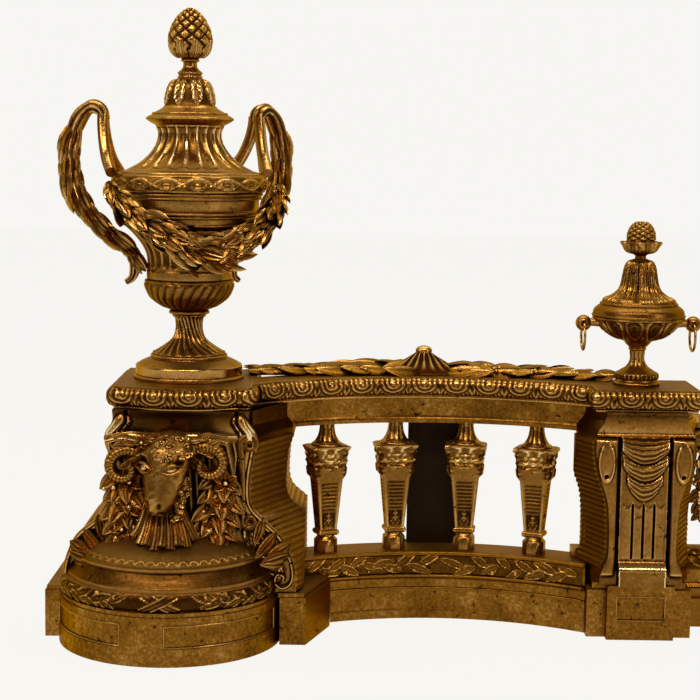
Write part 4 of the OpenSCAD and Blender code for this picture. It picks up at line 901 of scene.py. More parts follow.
def large_relief(x, z, half):
    """Hollow moulding under the cap, a round moulded strip along each edge that ends in a scroll head,
    and large leaves in the bend above the volutes."""
    side = half - np.abs(x)
    pilaster = half_round((side - 4.6) / 4.4) * step_up(z, 78, 86)
    groove = bump(side, 10.2, 1.5) * step_up(z, 80, 90)
    head = np.sqrt(np.clip(1 - ((side - 7.5) / 7.5) ** 2 - ((z - 158) / 11) ** 2, 0, 1))
    rise = np.clip((z - 153) / 18, 0, 1) * (z > 151)
    cove = (5.5 * rise ** 2.2 + 1.2 * bump(z, 153, 1.6)) * (1 - 0.75 * (x / 50) ** 2)
    leafy, tone = pressed(np.abs(x), z, [
        (52, 93, -0.45, 20, 4.5), (49, 96, -1.45, 32, 5.5), (50, 95, -0.95, 42, 7.5), (54, 88, -0.75, 26, 4.2),
        (74, 48, 2.9, 26, 4.5), (73, 50, 2.2, 24, 5.5), (72, 52, 2.55, 30, 5)])
    leafy_lift = 1.7 * leafy * (1 - step_up(z, 60, 70) * pilaster) * (z < 96)
    folds = 0.5 * np.cos(x * 1.1 + 3 * np.sin(z / 11)) * (1 - step_up(z, 146, 151)) * step_up(side, 12, 14)
    # Painted shadow in the cove, darker towards the cap; painted shade in the groove, painted highlights on the
    # scroll heads and strips.
    plain = 0.52 + 0.1 * head - 0.3 * groove + 0.1 * pilaster + (z > 151) * (0.2 - 0.62 * rise ** 1.4)
    return (2.6 * pilaster - 1.4 * groove + 4.5 * head + cove + leafy_lift + folds * (z > 84),
            np.where((leafy > 0) & (z < 92), tone, plain))


core = face_form(corner_line, 38.2, 171.6, FACE_Y, large_relief, 140, large_rear, LARGE, 1.05)
make_pair("pedestal", core, gilt_carved, "pedestal", crease=50)
make_pair("flank", [flank_ribs(39, 149, 24.0, 47.2), flank_ribs(39, 149, 0.6, 59, 1, 47, 23.8),
                    flank_ribs(86, 149, 0, 92, -1, 8), flank_ribs(39, 84, 0, 90, -1, 12)], patina)

# ---- Large pedestal: edging and volutes ----
# A cast leaf-edged moulding runs down both front corners and rolls in to a volute beside the torus, with
# acanthus leaves in its bend. Above, a scroll strip stands at each side of the ram's head.


def strip(points, y, wide, high, tone=0.6, grooves=2, around=14):
    """A moulding in a plane of constant Y through points of X and Z, with grooves along its face."""
    line = softened(points, 6)
    line = xyz(LARGE[0] + line[:, 0], LARGE[1] + y, line[:, 1])
    side = np.cross(np.gradient(line, axis=0), FRONT)
    return oval_swept(line, side, wide, high, grooved(2 * grooves, tone), around, 1.4)[0]


edge_points = [(53, 152), (51, 140), (48.5, 124), (48.3, 109), (51.5, 99.5), (62, 89), (72, 79), (78.5, 66),
               (81.5, 54), (80, 45.5), (74, 42), (69, 46), (70.5, 52), (75, 51), (74.6, 47.6)]
edging = []
for sign, gain in ((1, 0), (-1, -2)):
    edging.append(strip([(sign * x + gain * (z < 86), z) for x, z in edge_points][::sign], -59,
                        lambda k: 1.9 - 0.4 * k, even(2.6)))
for way in (1, -1):
    roots = np.array([(80, -63, 76), (80, -66, 69), (76, -69, 63), (70, -62, 84), (60, -60, 95)])
    aims = np.array([(-1, -0.55, -0.55), (-1, -0.7, -0.2), (-1, -0.75, 0.1), (-0.8, -0.5, -0.9),
                     (-0.3, -0.3, -1)])
    edging.append(leaves_at(0.5, roots * (way, 1, 1) + (*LARGE, 0), aims * (way, 1, 1), (0, -1, 0.6),
                            [(23, 20, 15), (26, 18, 15), (21, 16, 12), (25, 17, 12), (22, 16, 10)]))
make_pair("edging", edging, gilt_carved, crease=50)


def scroll(sign):
    """One side scroll: an S-shaped strip with a volute rolled at each end, as seen from the front."""
    turn = np.radians(np.arange(0, 540, 30))
    top = [(47.2 - 6.6 * (1 - k / 22) * np.cos(a), 148 + 6.6 * (1 - k / 22) * np.sin(a))
           for k, a in enumerate(turn)][::-1]
    foot = [(47.5 - (5.2 - 0.22 * k) * np.cos(a), 91 - (5.2 - 0.22 * k) * np.sin(a))
            for k, a in enumerate(turn)]
    body = top + [(41.5, 136), (42, 122), (42.3, 108)] + foot
    return strip([(2.3 + sign * x, z) for x, z in body][::sign], -60.6, swelling(1.5, 0.9), even(2.7), 0.58, 1, 12)


make_pair("scrolls", [scroll(-1), scroll(1)], gilt_carved, "scrolls", crease=50)

# ---- Large pedestal: ram's head mount ----
# One separate casting, screwed to the pedestal: the head with ridged horns and curled wool, a bow of
# leaves and ribbon above it, bunches of flowers and fruit beside it, and pleated strands below.


def at_front(x, y, z):
    """Points in the pedestal's own directions, as places in the left section."""
    return xyz(x, y, z) + (*LARGE, 0)


def curl_shape():
    """A small ring of radius 1 with a thick round section, for a lock of wool. It is painted lighter on its outer
    face and darker on the face against the head, as light and shade.
    """
    a = np.linspace(0, TURN, 9)[:, None]
    b = spokes(5)[None, :]
    wide = 0.66 + 0.36 * np.cos(b)
    grid = xyz(wide * np.cos(a), wide * np.sin(a), 0.5 * np.sin(b) - 0.15 * a / np.pi + 0.2)
    return closed(grid[:, ::-1], 0.42 + 0.4 * np.sin(b[:, ::-1]) + 0 * a)


def head_carving(angle, run, share):
    """Angle pi / 2 faces forward. Brow ridges and eye hollows lie beside it at a third of the length,
    the nose stays flat, nostrils and the mouth are grooves near the tip, and wool roughens the top. The tone
    paints shade in the eye hollows, nostrils and mouth, and highlights on the brows, cheeks and the forward face."""
    side = np.abs(angle - np.pi / 2)
    side = np.minimum(side, 2 * np.pi - side)
    hollow = bump(share, 0.40, 0.09) * bump(side, 0.92, 0.42)
    brow = bump(share, 0.31, 0.06) * bump(side, 0.78, 0.5)
    cheek = bump(share, 0.56, 0.16) * bump(side, 1.2, 0.5)
    nostril = bump(share, 0.9, 0.045) * bump(side, 0.5, 0.22)
    mouth = bump(share, 0.955, 0.02) * step_up(side, 0.3, 0.6)
    wool = (1 - step_up(share, 0.24, 0.3)) * np.cos(9 * angle) * np.cos(run * 1.3)
    lift = -3.0 * hollow + 2.0 * brow + 0.9 * cheek - 1.8 * nostril - 0.8 * mouth + 0.7 * wool
    fur = 0.09 * np.cos(23 * angle + 5 * share) * np.cos(run * 1.1 + 3 * np.sin(4 * angle))
    # Painted shade in hollows, nostrils and mouth; painted highlights on brows, cheeks and the forward face.
    tone = 0.5 + fur - 0.5 * hollow + 0.25 * brow - 0.55 * nostril - 0.45 * mouth + 0.12 * cheek
    return lift + 2.5 * fur, tone + 0.15 * bump(side, 0, 0.5)


def ram_face():
    """The head swept from crown to muzzle, and on it the eyes with their lids, the horns and the ears."""
    axis = at_front([-8.5, -8.5, -9, -10.0, -11.2, -12.6, -14.4, -15.2],
                    [-60, -67, -73, -76.5, -78.5, -80.5, -81.5, -81], [152, 148, 140.5, 131, 122, 113, 105, 101])
    places = np.linspace(0, 1, 8)
    parts = [oval_swept(softened(axis, 4), (0.91, -0.42, 0),
                        lambda k: np.interp(k, places, [12, 17.5, 19.5, 18.6, 16.2, 13.4, 11.2, 7.4]),
                        lambda k: np.interp(k, places, [6, 10, 11.8, 11, 9.9, 9.3, 8.6, 5.2]),
                        head_carving, 44, 0.9, 0.92)[0]]
    for way, x, y in ((1, -3.6, -87.6), (-1, -24.6, -79.6)):
        across, z = (0.91, -0.42 + 0.5 * way, 0), 133.5
        parts.append(scattered(berry_shape(12, 9), at_front(x, y, z), (*across[:2], 0.1),
                               (0.3 * way - 0.3, -1, 0.1), [(3.8, 2.5, 1.7)]))
        for lid in (1, -1):
            k = np.linspace(-1, 1, 9)
            edge = at_front(x, y - 1.4 + 2.6 * k ** 2, z + lid * 3.3 * (1 - k ** 2) + 1.2 * way * k)
            parts.append(oval_swept(edge + np.outer(6.6 * k, across), (0, 0, 1), swelling(0.5, 0.9), even(1.5),
                                    around=8, step=1.0)[0])
    for way, x0, tilt in ((1, 20.5, 0), (-1, -39.5, 3)):
        a, k = np.radians(np.linspace(165, -225, 50)), np.linspace(0, 1, 50)
        size = 14.2 - 9.2 * k
        horn = at_front(x0 + way * size * np.cos(a), -66 - 11 * k + 4 * (1 - k) ** 2,
                        134.5 - tilt + 0.95 * size * np.sin(a))
        parts.append(oval_swept(horn, (0, 1, 0), lambda k: 7.2 - 4.6 * k, lambda k: 6.2 - 4.0 * k,
                                lambda a, run, k: (0.16 * np.cos(run * 2.4), 0.5 + 0.16 * np.cos(run * 2.4)),
                                14, 0.7)[0])
        parts.append(leaves_at(0.5, at_front(-11 + way * 13, -70, 139), (way, -0.25, -0.38),
                               (0.1 * way, -1, 0.35), [(21, 17, 12)]))
    return parts


def ram_wool(draw):
    """Locks of wool on the crown, whose depth is a paraboloid of the place, and in a fall at one side."""
    wool = np.stack([draw.uniform(-27, 9, 70), draw.uniform(140, 155, 70)], 1)
    depth = -87.6 + 0.036 * (wool[:, 0] + 6) ** 2 + 0.03 * (wool[:, 1] - 135) ** 2 - 0.2 * (wool[:, 0] + 11)
    crown = scattered(curl_shape(), at_front(wool[:, 0], depth, wool[:, 1]),
                      draw.normal(0, 1, (70, 3)) * (1, 0.2, 1), xyz((wool[:, 0] + 11) / 22, -1, 0.5),
                      draw.uniform(1.7, 2.6, 70))
    k = np.linspace(0, 1, 46)
    fall = at_front(6.5 - 9 * k + 1.6 * draw.normal(0, 1, 46), -77 - 2 * k,
                    125 - 31 * k + 1.5 * draw.normal(0, 1, 46))
    return [crown, scattered(curl_shape(), fall, draw.normal(0, 1, (46, 3)) * (1, 0.2, 1), (0.35, -1, 0),
                             draw.uniform(1.6, 2.5, 46))]


def flower(x, y, z, size, plump, droop, turn):
    """Six petals round a place: leaves of one length, width and thickness, from an angle on."""
    petals = spokes(6) + turn
    return scattered(leaf_shape(plump), at_front(x, y, z), xyz(np.cos(petals), droop, np.sin(petals)), FRONT, [size])


def ram_crest(draw):
    """A bow of ribbon above the head, with leaves that spread from it and three flowers."""
    parts = []
    for way in (1, -1):
        k = np.linspace(0, 1, 12)
        arm = at_front(-14 + way * (4 + (40 + 4 * way) * k), -67 - 3 * np.sin(np.pi * k) + 2 * k,
                       150 + 4.5 * np.sin(2.6 * k) - 1.5 * k)
        parts.append(oval_swept(arm, (0, 0.3, 1), lambda k: 3.3 + 0.8 * np.sin(6 * k), even(1.5),
                                grooved(6, 0.6), 18, 1.3)[0])
        roots = at_front(-14 + (0.2 + 0.8 * way) * draw.uniform(2, 34, 16), draw.uniform(-69, -66, 16),
                         draw.uniform(145, 153, 16))
        ahead = xyz(way, draw.normal(-0.15, 0.1, 16), draw.normal(-0.1, 0.45, 16))
        parts.append(leaves_at(0.34, roots, ahead, draw.normal(0, 0.2, (16, 3)) + (0, -1, 0.2),
                               np.outer(draw.uniform(11, 17, 16), (1, 0.95, 0.8))))
    for x, z in ((-16.5, 152), (-27, 150), (-5, 151)):
        parts.append(flower(x, -70.5, z, (6, 8, 6), 0.5, -0.35, 0))
        parts.append(berries_at(at_front(x, -71.5, z), 1.8))
    return parts


def ram_bunches(draw):
    """Leaves, flowers and berries that hang at both sides of the head."""
    parts = []
    for x0, x1 in ((-40, -37), (30, 24)):
        k = np.linspace(0, 1, 22)
        side = np.tile([-1, 0.1, 1, -0.4, 0.6], 5)[:22]
        parts.append(leaves_at(0.42, at_front(x0 + (x1 - x0) * k + 3 * side, -64.5, 127 - 46 * k),
                               xyz(0.75 * side, -0.32, -0.6), (0, -1, 0.3),
                               np.outer(draw.uniform(15, 23, 22), (1, 1.15, 0.7))))
        for z, size in ((121, 10.5), (103, 11), (86, 8.5)):
            x = x0 + (x1 - x0) * (128 - z) / 50 + 4 * np.sin(z)
            parts.append(flower(x, -67.5, z, (size, 1.5 * size, size), 0.6, -0.45, z))
            parts.append(berries_at(at_front(x, -70.5, z), 2.1))
        k = draw.uniform(0.05, 1, 7)
        parts.append(berries_at(at_front(x0 + (x1 - x0) * k + draw.normal(0, 4.5, 7), -68.5, 126 - 48 * k),
                                draw.uniform(1.8, 2.6, 7)))
    return parts


def ram_strands():
    """Pleated strands that spread over the skirt, painted lighter on their front sides, and leaf stalks behind the
    head, painted dark as shade.
    """
    parts = []
    for k, drop in zip(np.linspace(-1, 1, 9), (0, 3, 1, 4, 0, 3, 1, 5, 2)):
        pleat = at_front([-12 + 10 * k, -11 + 14 * k, -10 + 18 * k, -10 + 22 * k],
                         [-68, -73, -77 - 5 * (1 - k * k), -80 - 13 * (1 - k * k)],
                         [114, 98, 87 + 2 * k * k, 79 - drop * 0.8 + 4 * k * k])
        parts.append(oval_swept(softened(pleat, 6), (1, 0, 0), lambda k: 2.3 + 0.9 * k, lambda k: 4.0 - 1.9 * k,
                                lambda a, run, k: (0.5 * np.cos(3 * a) + 0.3 * np.cos(7 * a), 0.38 + 0.22
                                                   * np.cos(3 * a) + 0.15 * np.cos(7 * a) + 0.2 * np.sin(a)),
                                24, 1.6)[0])
    for x in np.linspace(-32, 20, 12):
        stalk = at_front([x, x + 0.08 * (x + 8), x + 0.25 * (x + 8)], [-60, -61.5, -59.5], [148, 118, 84])
        parts.append(oval_swept(softened(stalk, 6), (1, 0, 0), even(3.0), even(2.4), grooved(4, 0.3, 0.2),
                                16, 2.4)[0])
    return parts


draw = np.random.default_rng(11)
make_pair("ram_mount", ram_face() + ram_wool(draw) + ram_crest(draw) + ram_bunches(draw) + ram_strands(),
          gilt_carved, "ram_mount", crease=52)

# ---- Cap and curved rail ----
# The top casting keeps its plain cap and frieze. Its edge is cast with large eggs in ringed cups and
# slanting darts between them, which repeat every twenty-five millimetres.

CURVE = (-372.6, -194.8)  # the centre of the curved rail
EDGE_RADIUS, FRIEZE_RADIUS = 206.5, 212.4
SMALL = (-221.0, -13.0)  # the middle of the small pedestal
EGG_PITCH = 25.0


def moulding(plan, profile, carve=toned(0.55), step=1.2):
    """A profile of [outward, height] points, from top to bottom, carried along a plan line of [x, y];
    outward is the right-hand side of the way. The chord behind the profile closes it."""
    line, run = evenly(plan, step)
    way = unit(np.gradient(line, run, axis=0))
    outward = np.stack([way[:, 1], -way[:, 0]], 1)
    face, along = evenly(profile, step)
    turn = unit(np.gradient(face, along, axis=0), 1e-9)
    s, v = np.meshgrid(run, along, indexing="ij")
    lift, tone = carve(s, v, along[-1])
    out = face[None, :, 0] - turn[None, :, 1] * lift
    height = face[None, :, 1] + turn[None, :, 0] * lift
    return closed(xyz(line[:, :1] + outward[:, :1] * out, line[:, 1:] + outward[:, 1:] * out, height), tone)


def egg_carving(s, v, depth):
    """Rings: a cosine of the distance from the egg's middle, straight above it. Darts: a cosine of the
    slanted distance from the middle between two eggs."""
    u = (s % EGG_PITCH) - EGG_PITCH / 2
    down = v - 0.36 * depth
    away = np.hypot(u * 0.86, np.maximum(down, 0))
    ring = np.cos(TURN * (away - 0.4) / 3.3)
    dart = np.cos(TURN * (EGG_PITCH / 2 - np.abs(u) + 0.28 * down) / 3.1)
    inside = 1 - step_up(away, 9.2, 10.4)
    egg = half_round(np.hypot(u, 0.8 * down + 0.6) / 2.5)
    wave = inside * ring + (1 - inside) * dart
    wave = np.where(egg > 0, -0.6 + 1.7 * egg, wave)
    fade = between(v, 0.8, 2.2, depth - 1.6, depth - 0.4)
    return fade * (0.42 * wave - 0.1), 0.46 + 0.33 * fade * wave


def bead_profile(out, low, high, bulge):
    """A rounded edge from its upper to its lower line: a half ellipse that stands out by the bulge."""
    a = np.linspace(90, -90, 17) * np.pi / 180
    return np.stack([out + bulge * np.cos(a), (low + high) / 2 + (high - low) / 2 * np.sin(a)], 1)


def large_edge():
    """Plan of the large cap: straight sides, round corners and a bowed front of radius 87."""
    x = np.linspace(-42, 42, 30)
    front = np.stack([x, 21 - np.sqrt(87 ** 2 - x ** 2)], 1)
    plan = np.vstack([[(-52, 49), (-52, -44)], arc((-45, -49.5), 7, 180, 262, 6), front,
                      arc((45, -49.5), 7, 278, 360, 6), [(52, -44), (52, -19)]])
    return plan + LARGE


def curve_plan(radius, start, stop, steps=60):
    """Points on the curved rail, by the angle from straight behind its centre, from left to right."""
    a = np.radians(np.linspace(start, stop, steps))
    return np.stack([CURVE[0] + radius * np.sin(a), CURVE[1] + radius * np.cos(a)], 1)


small_edge = np.vstack([(-40, 2), arc((-36, -31), 4, 180, 270, 6), arc((36, -31), 4, 270, 360, 6), (40, 12)]) + SMALL
plans = (large_edge(), curve_plan(EDGE_RADIUS, -41, 34), small_edge)
edges = [moulding(plan, bead_profile(*profile), egg_carving) for plan, profile in zip(plans, (
    (-1.6, 173.6, 187.2, 5.0), (0, 173.8, 187.8, 6.5), (-1.6, 173.6, 187.2, 4.6)))]
for plan, out in zip(plans, (0, 2.0, 0)):
    edges.append(moulding(plan, bead_profile(out - 3.0, 171.4, 174.0, 1.2), toned(0.7), 1.5))
    edges.append(moulding(plan, bead_profile(out - 3.4, 186.6, 188.2, 1.2), toned(0.72), 1.5))
make_pair("cap_edge", edges, gilt_carved, crease=55)
fascia = moulding(curve_plan(FRIEZE_RADIUS, -34.5, 32.5), [
    (-9, 172), (0, 172), (0, 157), (0.5, 155.5), (1.4, 154.6), (1.4, 151.9), (-9, 151.9)], step=2)
cheek = moulding(np.add([(50.6, -55.5), (73.9, -9.8)], LARGE), [(-6, 171.6), (0.9, 171.6), (0.9, 158),
                 (3.4, 153), (3.4, 149.5), (-6, 149.5)], step=2)
make_pair("rail_face", [fascia, cheek], old_plain)

# ---- Rail garland ----
# A separate flat casting that lies on the rail: laurel leaves and berries from both ends to the middle,
# where a shell stands up behind them.

span = np.array([LARGE[0] + 44.3, SMALL[0] - 20.5])
k = np.linspace(0, 1, 25)
bow = 16 * (1 - np.cos(np.radians(194.4 * (k - 0.52))))
garland_line = xyz(span[0] + k * (span[1] - span[0]), CURVE[1] + 223 - bow - 3 * k, RAIL_TOP + 0.4)


def garland_form():
    """A flat core painted dark as shade under the leaves, long leaves that overlap along it with lifted tips, and
    clusters of beads between.
    """
    draw = np.random.default_rng(3)
    wide, high = swelling(4.2, 5.5), swelling(2.0, 3.0)
    core, tube = oval_swept(garland_line, (0, 1, 0), wide, high, toned(0.12), 14, 3)
    parts = [(np.maximum(core[0], (-900, -900, RAIL_TOP + 0.1)), *core[1:])]
    for start, stop, lead in ((0.47, 0.0, -1), (0.53, 1.0, 1)):
        for row, count in ((-1, 8), (1, 8), (0, 7)):
            share = np.linspace(start, stop - lead * 0.05, count) + draw.normal(0, 0.006, count)
            place = read_off(tube[0], tube[-1], share) + xyz(
                0, wide(share) * (0.62 * row), 1.4 + 1.8 * (1 - abs(row)) + high(share) * 0.45)
            ahead = xyz(lead, 0.26 * row + draw.normal(0, 0.08, count), 0.10 + draw.normal(0, 0.03, count))
            size = (19 + 10 * np.sin(np.pi * share)) * draw.uniform(0.85, 1.15, count)
            outward = xyz(draw.normal(0, 0.2, count), 0.5 * row - 0.12 + draw.normal(0, 0.2, count), 1)
            parts.append(leaves_at(0.3, place, ahead, outward, np.outer(size, (1, 1.1, 0.5))))
        share = np.linspace(start, stop - lead * 0.02, 30)
        angle = draw.uniform(0.3, 2.85, 30)
        place, ahead, normal = on_tube(tube, share, angle, wide, high, 1.15, lead=lead)
        ahead = (ahead + draw.normal(0, 0.3, ahead.shape)) * (1, 1, 0.25)
        parts.append(leaves_at(0.4, place + (0, 0, 1.0), ahead, normal * 0.4 + (0, 0, 1),
                               np.outer(draw.uniform(8, 13, 30), (1, 1, 0.7))))
    for middle in np.concatenate([np.linspace(0.1, 0.42, 4), np.linspace(0.58, 0.9, 4)]):
        share, angle = middle + draw.normal(0, 0.008, 9), draw.uniform(0.9, 2.6, 9)
        place, ahead, normal = on_tube(tube, share, angle, wide, high, 1.2)
        place[:, 1] -= 1.2
        parts.append(scattered(berry_shape(), place + (0, 0, 1.2), ahead, normal, draw.uniform(1.4, 2.1, 9)))
    # shell: lines that stream from a knob at the top down to a broad foot
    s, t = np.linspace(-1, 1, 101)[:, None], np.linspace(0, 1, 26)[None, :]
    half = 7 + 25 * t ** 0.85
    rib = np.cos(7.5 * np.pi * s) * np.sin(np.pi * np.clip(t + 0.12, 0, 1)) ** 0.5
    bulge = (2.4 + 4.6 * np.sin(np.pi * (0.15 + 0.75 * t))) * np.sqrt(np.clip(1.02 - s ** 2, 0, 1)) + 0.8 * rib
    root = garland_line[12] - (4, 4.5, 0)
    height = RAIL_TOP + 0.3 + 20 * (1 - t) * (1 - 0.22 * s ** 2)
    front = xyz(root[0] + half * s, root[1] - bulge, height + 0.6 * rib)
    back = xyz(root[0] + half * s, root[1] + 2.8, height)
    tone = np.concatenate([0.5 + 0.4 * rib, 0.3 + 0 * rib], 1)
    parts.append(closed(np.concatenate([front, back[:, ::-1]], 1)[:, ::-1], tone[:, ::-1]))
    parts.append(scattered(berry_shape(18, 9), root + (0, -1.5, 18.9), (1, 0, 0), (0, -0.4, 1), [(6.4, 4.4, 3.8)]))
    return parts


make_pair("garland", garland_form(), old_carved, "rail_garland", crease=50)

# ---- Balusters ----
# Four term-shaped castings: a flared foot, a tapering square shaft with a ladder of fine ribs, a leafy
# cap with a festoon, and a fluted round neck under the rail.

BALUSTER_Z = 52
BALUSTER_RADIUS = 217.5  # from the centre of the curved rail
BALUSTER_STEP = 14.49  # degrees from one to the next


def boxed(heights, wide, deep, carve, steps=14):
    """A four-sided form: half widths and half depths at each height, with relief on every face. Carve
    takes the place across the face in millimetres, the height and the face's half width."""
    u = np.linspace(-1, 1, steps + 1)[:-1]
    w, d, z = (size[:, None] + 0 * u for size in (wide, deep, heights))
    sides, tones = [], []
    for half, reach, c, s in ((w, d, 1, 0), (d, w, 0, 1), (w, d, -1, 0), (d, w, 0, -1)):
        lift, tone = carve(u * half, z, half)
        x, y = u * half, -(reach + lift)
        sides.append(xyz(c * x - s * y, s * x + c * y, z))
        tones.append(tone)
    return closed(np.concatenate(sides, 1), np.concatenate(tones, 1))


def baluster_carving(x, k, half):
    """From the foot: a small leaf, a ladder of ribs in a sunk panel, a festoon, and a cap with a shield of
    two U-shaped lines over a row of beads, between hanging corner leaves."""
    ax = np.abs(x)
    panel = (1 - step_up(ax, 0.62 * half, 0.62 * half + 0.8)) * between(k, 19, 20.5, 54, 55.5)
    rib = crest(TURN * k / 2.9) * step_up(k, 31, 32)
    leaf, leaf_tone = pressed(x, k, [(0, 20, np.pi / 2, 11, 2.6), (0, 20, 1.1, 9, 2), (0, 20, 2.04, 9, 2)])
    edge = bump(ax, half - 0.9, 0.9) * (1 - step_up(k, 58, 60))
    sag = 65.5 + 0.058 * ax ** 2
    festoon = bump(k, sag, 2.4) * (0.7 + 0.3 * np.cos(TURN * x / 2.6)) * (half > 9)
    cap = between(k, 66, 67, 80.5, 81.5)
    away = np.hypot(x, (k - 80) * 0.8)
    shield = bump(away, 4.2, 1.0) + bump(away, 7.2, 0.9)
    beads = bump(k, 69.8 + 0.02 * ax ** 2, 1.2) * crest(TURN * x / 2.9) * (ax < 11)
    volute = bump(ax, half - 2.2, 2.4) * between(k, 58, 61, 79, 80)
    slab = step_up(k, 79.6, 80.4)
    lift = (panel * (0.55 * rib - 0.8) + leaf * 0.8 * (k < 31) * (ax < 4) + 0.3 * edge + 2.4 * festoon
            + cap * (1.1 * shield + 1.3 * beads - 1.1) + 1.4 * volute + 0.5 * slab)
    tone = (0.5 + panel * (0.46 * rib - 0.36) + 0.34 * edge + 0.4 * festoon
            + cap * (0.62 * shield + 0.6 * beads - 0.08) + 0.3 * volute * np.cos(k * 1.7) + 0.2 * slab)
    return lift, np.clip(np.where((leaf > 0) & (k < 31), leaf_tone, tone), 0, 1)


def baluster_form():
    """One baluster on the axis X = Y = 0."""
    k = np.concatenate([np.linspace(13.5, 83.4, 78), [83.5]])
    stops = [13.5, 15, 17, 18, 57, 60, 62, 66, 70, 76, 79, 80, 83, 83.4, 83.5]
    wide = np.interp(k, stops, [7, 8.4, 8.2, 6.8, 10.4, 12.4, 12.8, 13.2, 13.8, 14.2, 14.6, 16, 15.6, 13, 8])
    deep = np.interp(k, stops, [6, 7.2, 7.0, 5.8, 7.8, 8.4, 8.6, 8.8, 9, 9.2, 9.4, 10.2, 10, 9, 7])
    shaft = boxed(k, wide, deep, baluster_carving)
    shaft = (shaft[0] + (0, 0, BALUSTER_Z), *shaft[1:])
    neck = turned(np.vstack([[(1, 0), (11.6, 0)], arc((11.2, 1.1), 0.9, -80, 80, 5),
                             softened([(10.6, 2.2), (8.4, 5), (6.6, 9), (5.8, 13.5), (5.7, 15.4)]),
                             [(5.7, 17), (1, 17)]]), BALUSTER_Z + 83, (0, 0), 64,
                  lambda a, z: (-0.7 * between(z, 3, 5, 14, 15) * np.abs(np.cos(5 * a)) ** 4,
                                0.66 - 0.4 * step_up(z, 3, 5) * np.abs(np.cos(5 * a)) ** 4), 0.9)
    foot = turned([(1, 0), (9.0, 0), (9.0, 9.6), (8.4, 10.6), (6.9, 12), (6.6, 14), (1, 14)], BALUSTER_Z,
                  (0, 0), 8, step=20)
    return joined([shaft, neck, (turned_about(foot[0], (0, 0), 22.5), *foot[1:])])


one_baluster = baluster_form()
row = []
for place in (-1.5, -0.5, 0.5, 1.5):
    away = 1 - place * BALUSTER_STEP
    spot = (CURVE[0] - BALUSTER_RADIUS * np.sin(np.radians(away)),
            CURVE[1] + BALUSTER_RADIUS * np.cos(np.radians(away)), 0)
    row.append((turned_about(one_baluster[0], (0, 0), away) + spot, *one_baluster[1:]))
make_pair("balusters", row, gilt_carved, "balusters", crease=40)

# ---- Base rail band ----
# The curved base rail has a hollow band cast with laurel sprigs: a wavy stem, pairs of leaves that lean
# to the middle, and berries between them.

rail_run = np.radians(62.5) * 203.0  # length of the band
rail_leaves, rail_berries = laurel(((3, rail_run / 2 - 2), (rail_run - 3, rail_run / 2 + 2)), (31, 32),
                                   8.6, 1.2, 9.0, 19, 3.6)


def rail_carving(s, v, depth):
    """Laurel pressed in the hollow band; v runs from the band's upper edge to its lower one."""
    height, tone = pressed(s, v, rail_leaves, (), rail_berries)
    zone = between(v, 0.3, 1.2, depth - 1.2, depth - 0.3)
    return zone * (1.15 * height - 0.3), np.where(zone > 0.5, 0.14 + tone, 0.7)


edges = [moulding(curve_plan(*plan), bead_profile(*profile), step=1.5) for plan, profile in (
    ((203.6, -29.5, 33.2), (0, 49.2, 52.2, 1.1)), ((203.6, -29.5, 33.2), (0, 31.6, 34.2, 1.4)),
    ((202.0, -26.3, 33.0), (0, 22.0, 24.4, 0.5)))]
hollow = [(-1.6, 50), (-0.4, 48), (0.4, 45), (0.6, 41.5), (0.4, 38), (-0.4, 35), (-1.6, 33)]
edges.append(moulding(curve_plan(203.2, -29.5, 33.0), hollow, rail_carving, 0.8))
make_pair("rail_band", edges, old_carved, crease=50)

# ---- Small pedestal ----
# A narrow hollow casting with a separate front mount: fluted and swagged with a cloth of three tiers,
# between two scroll-headed columns. Its flanks open towards the back and are cut with level ribs.

CUP = (-224.5, -13.0)  # the small urn's axis
small_line = softened([(30, 172), (31, 164), (36, 154), (37, 142), (34, 124), (28, 106), (26, 86), (26, 64),
                       (30, 53), (31, 41)], 5)


def cloth_fold(x, z, top, sag, half):
    """Hanging folds: lines that droop by the sag in the middle and gather at the corners, numbered by
    their share q of the drop. Gives the relief of the folds, and where they lie."""
    drop = 10 + sag * (1 - (x / half) ** 2)
    q = (top - z) / np.maximum(drop, 0.5)
    inside = (q > 0) & (q < 1) & (np.abs(x) < half)
    fold = crest(TURN * (5.6 * q + 0.05 * np.sin(x * 0.7)))
    return 1.0 + 2.0 * np.sin(np.pi * np.clip(q, 0, 1) ** 1.4) + 0.8 * fold, inside


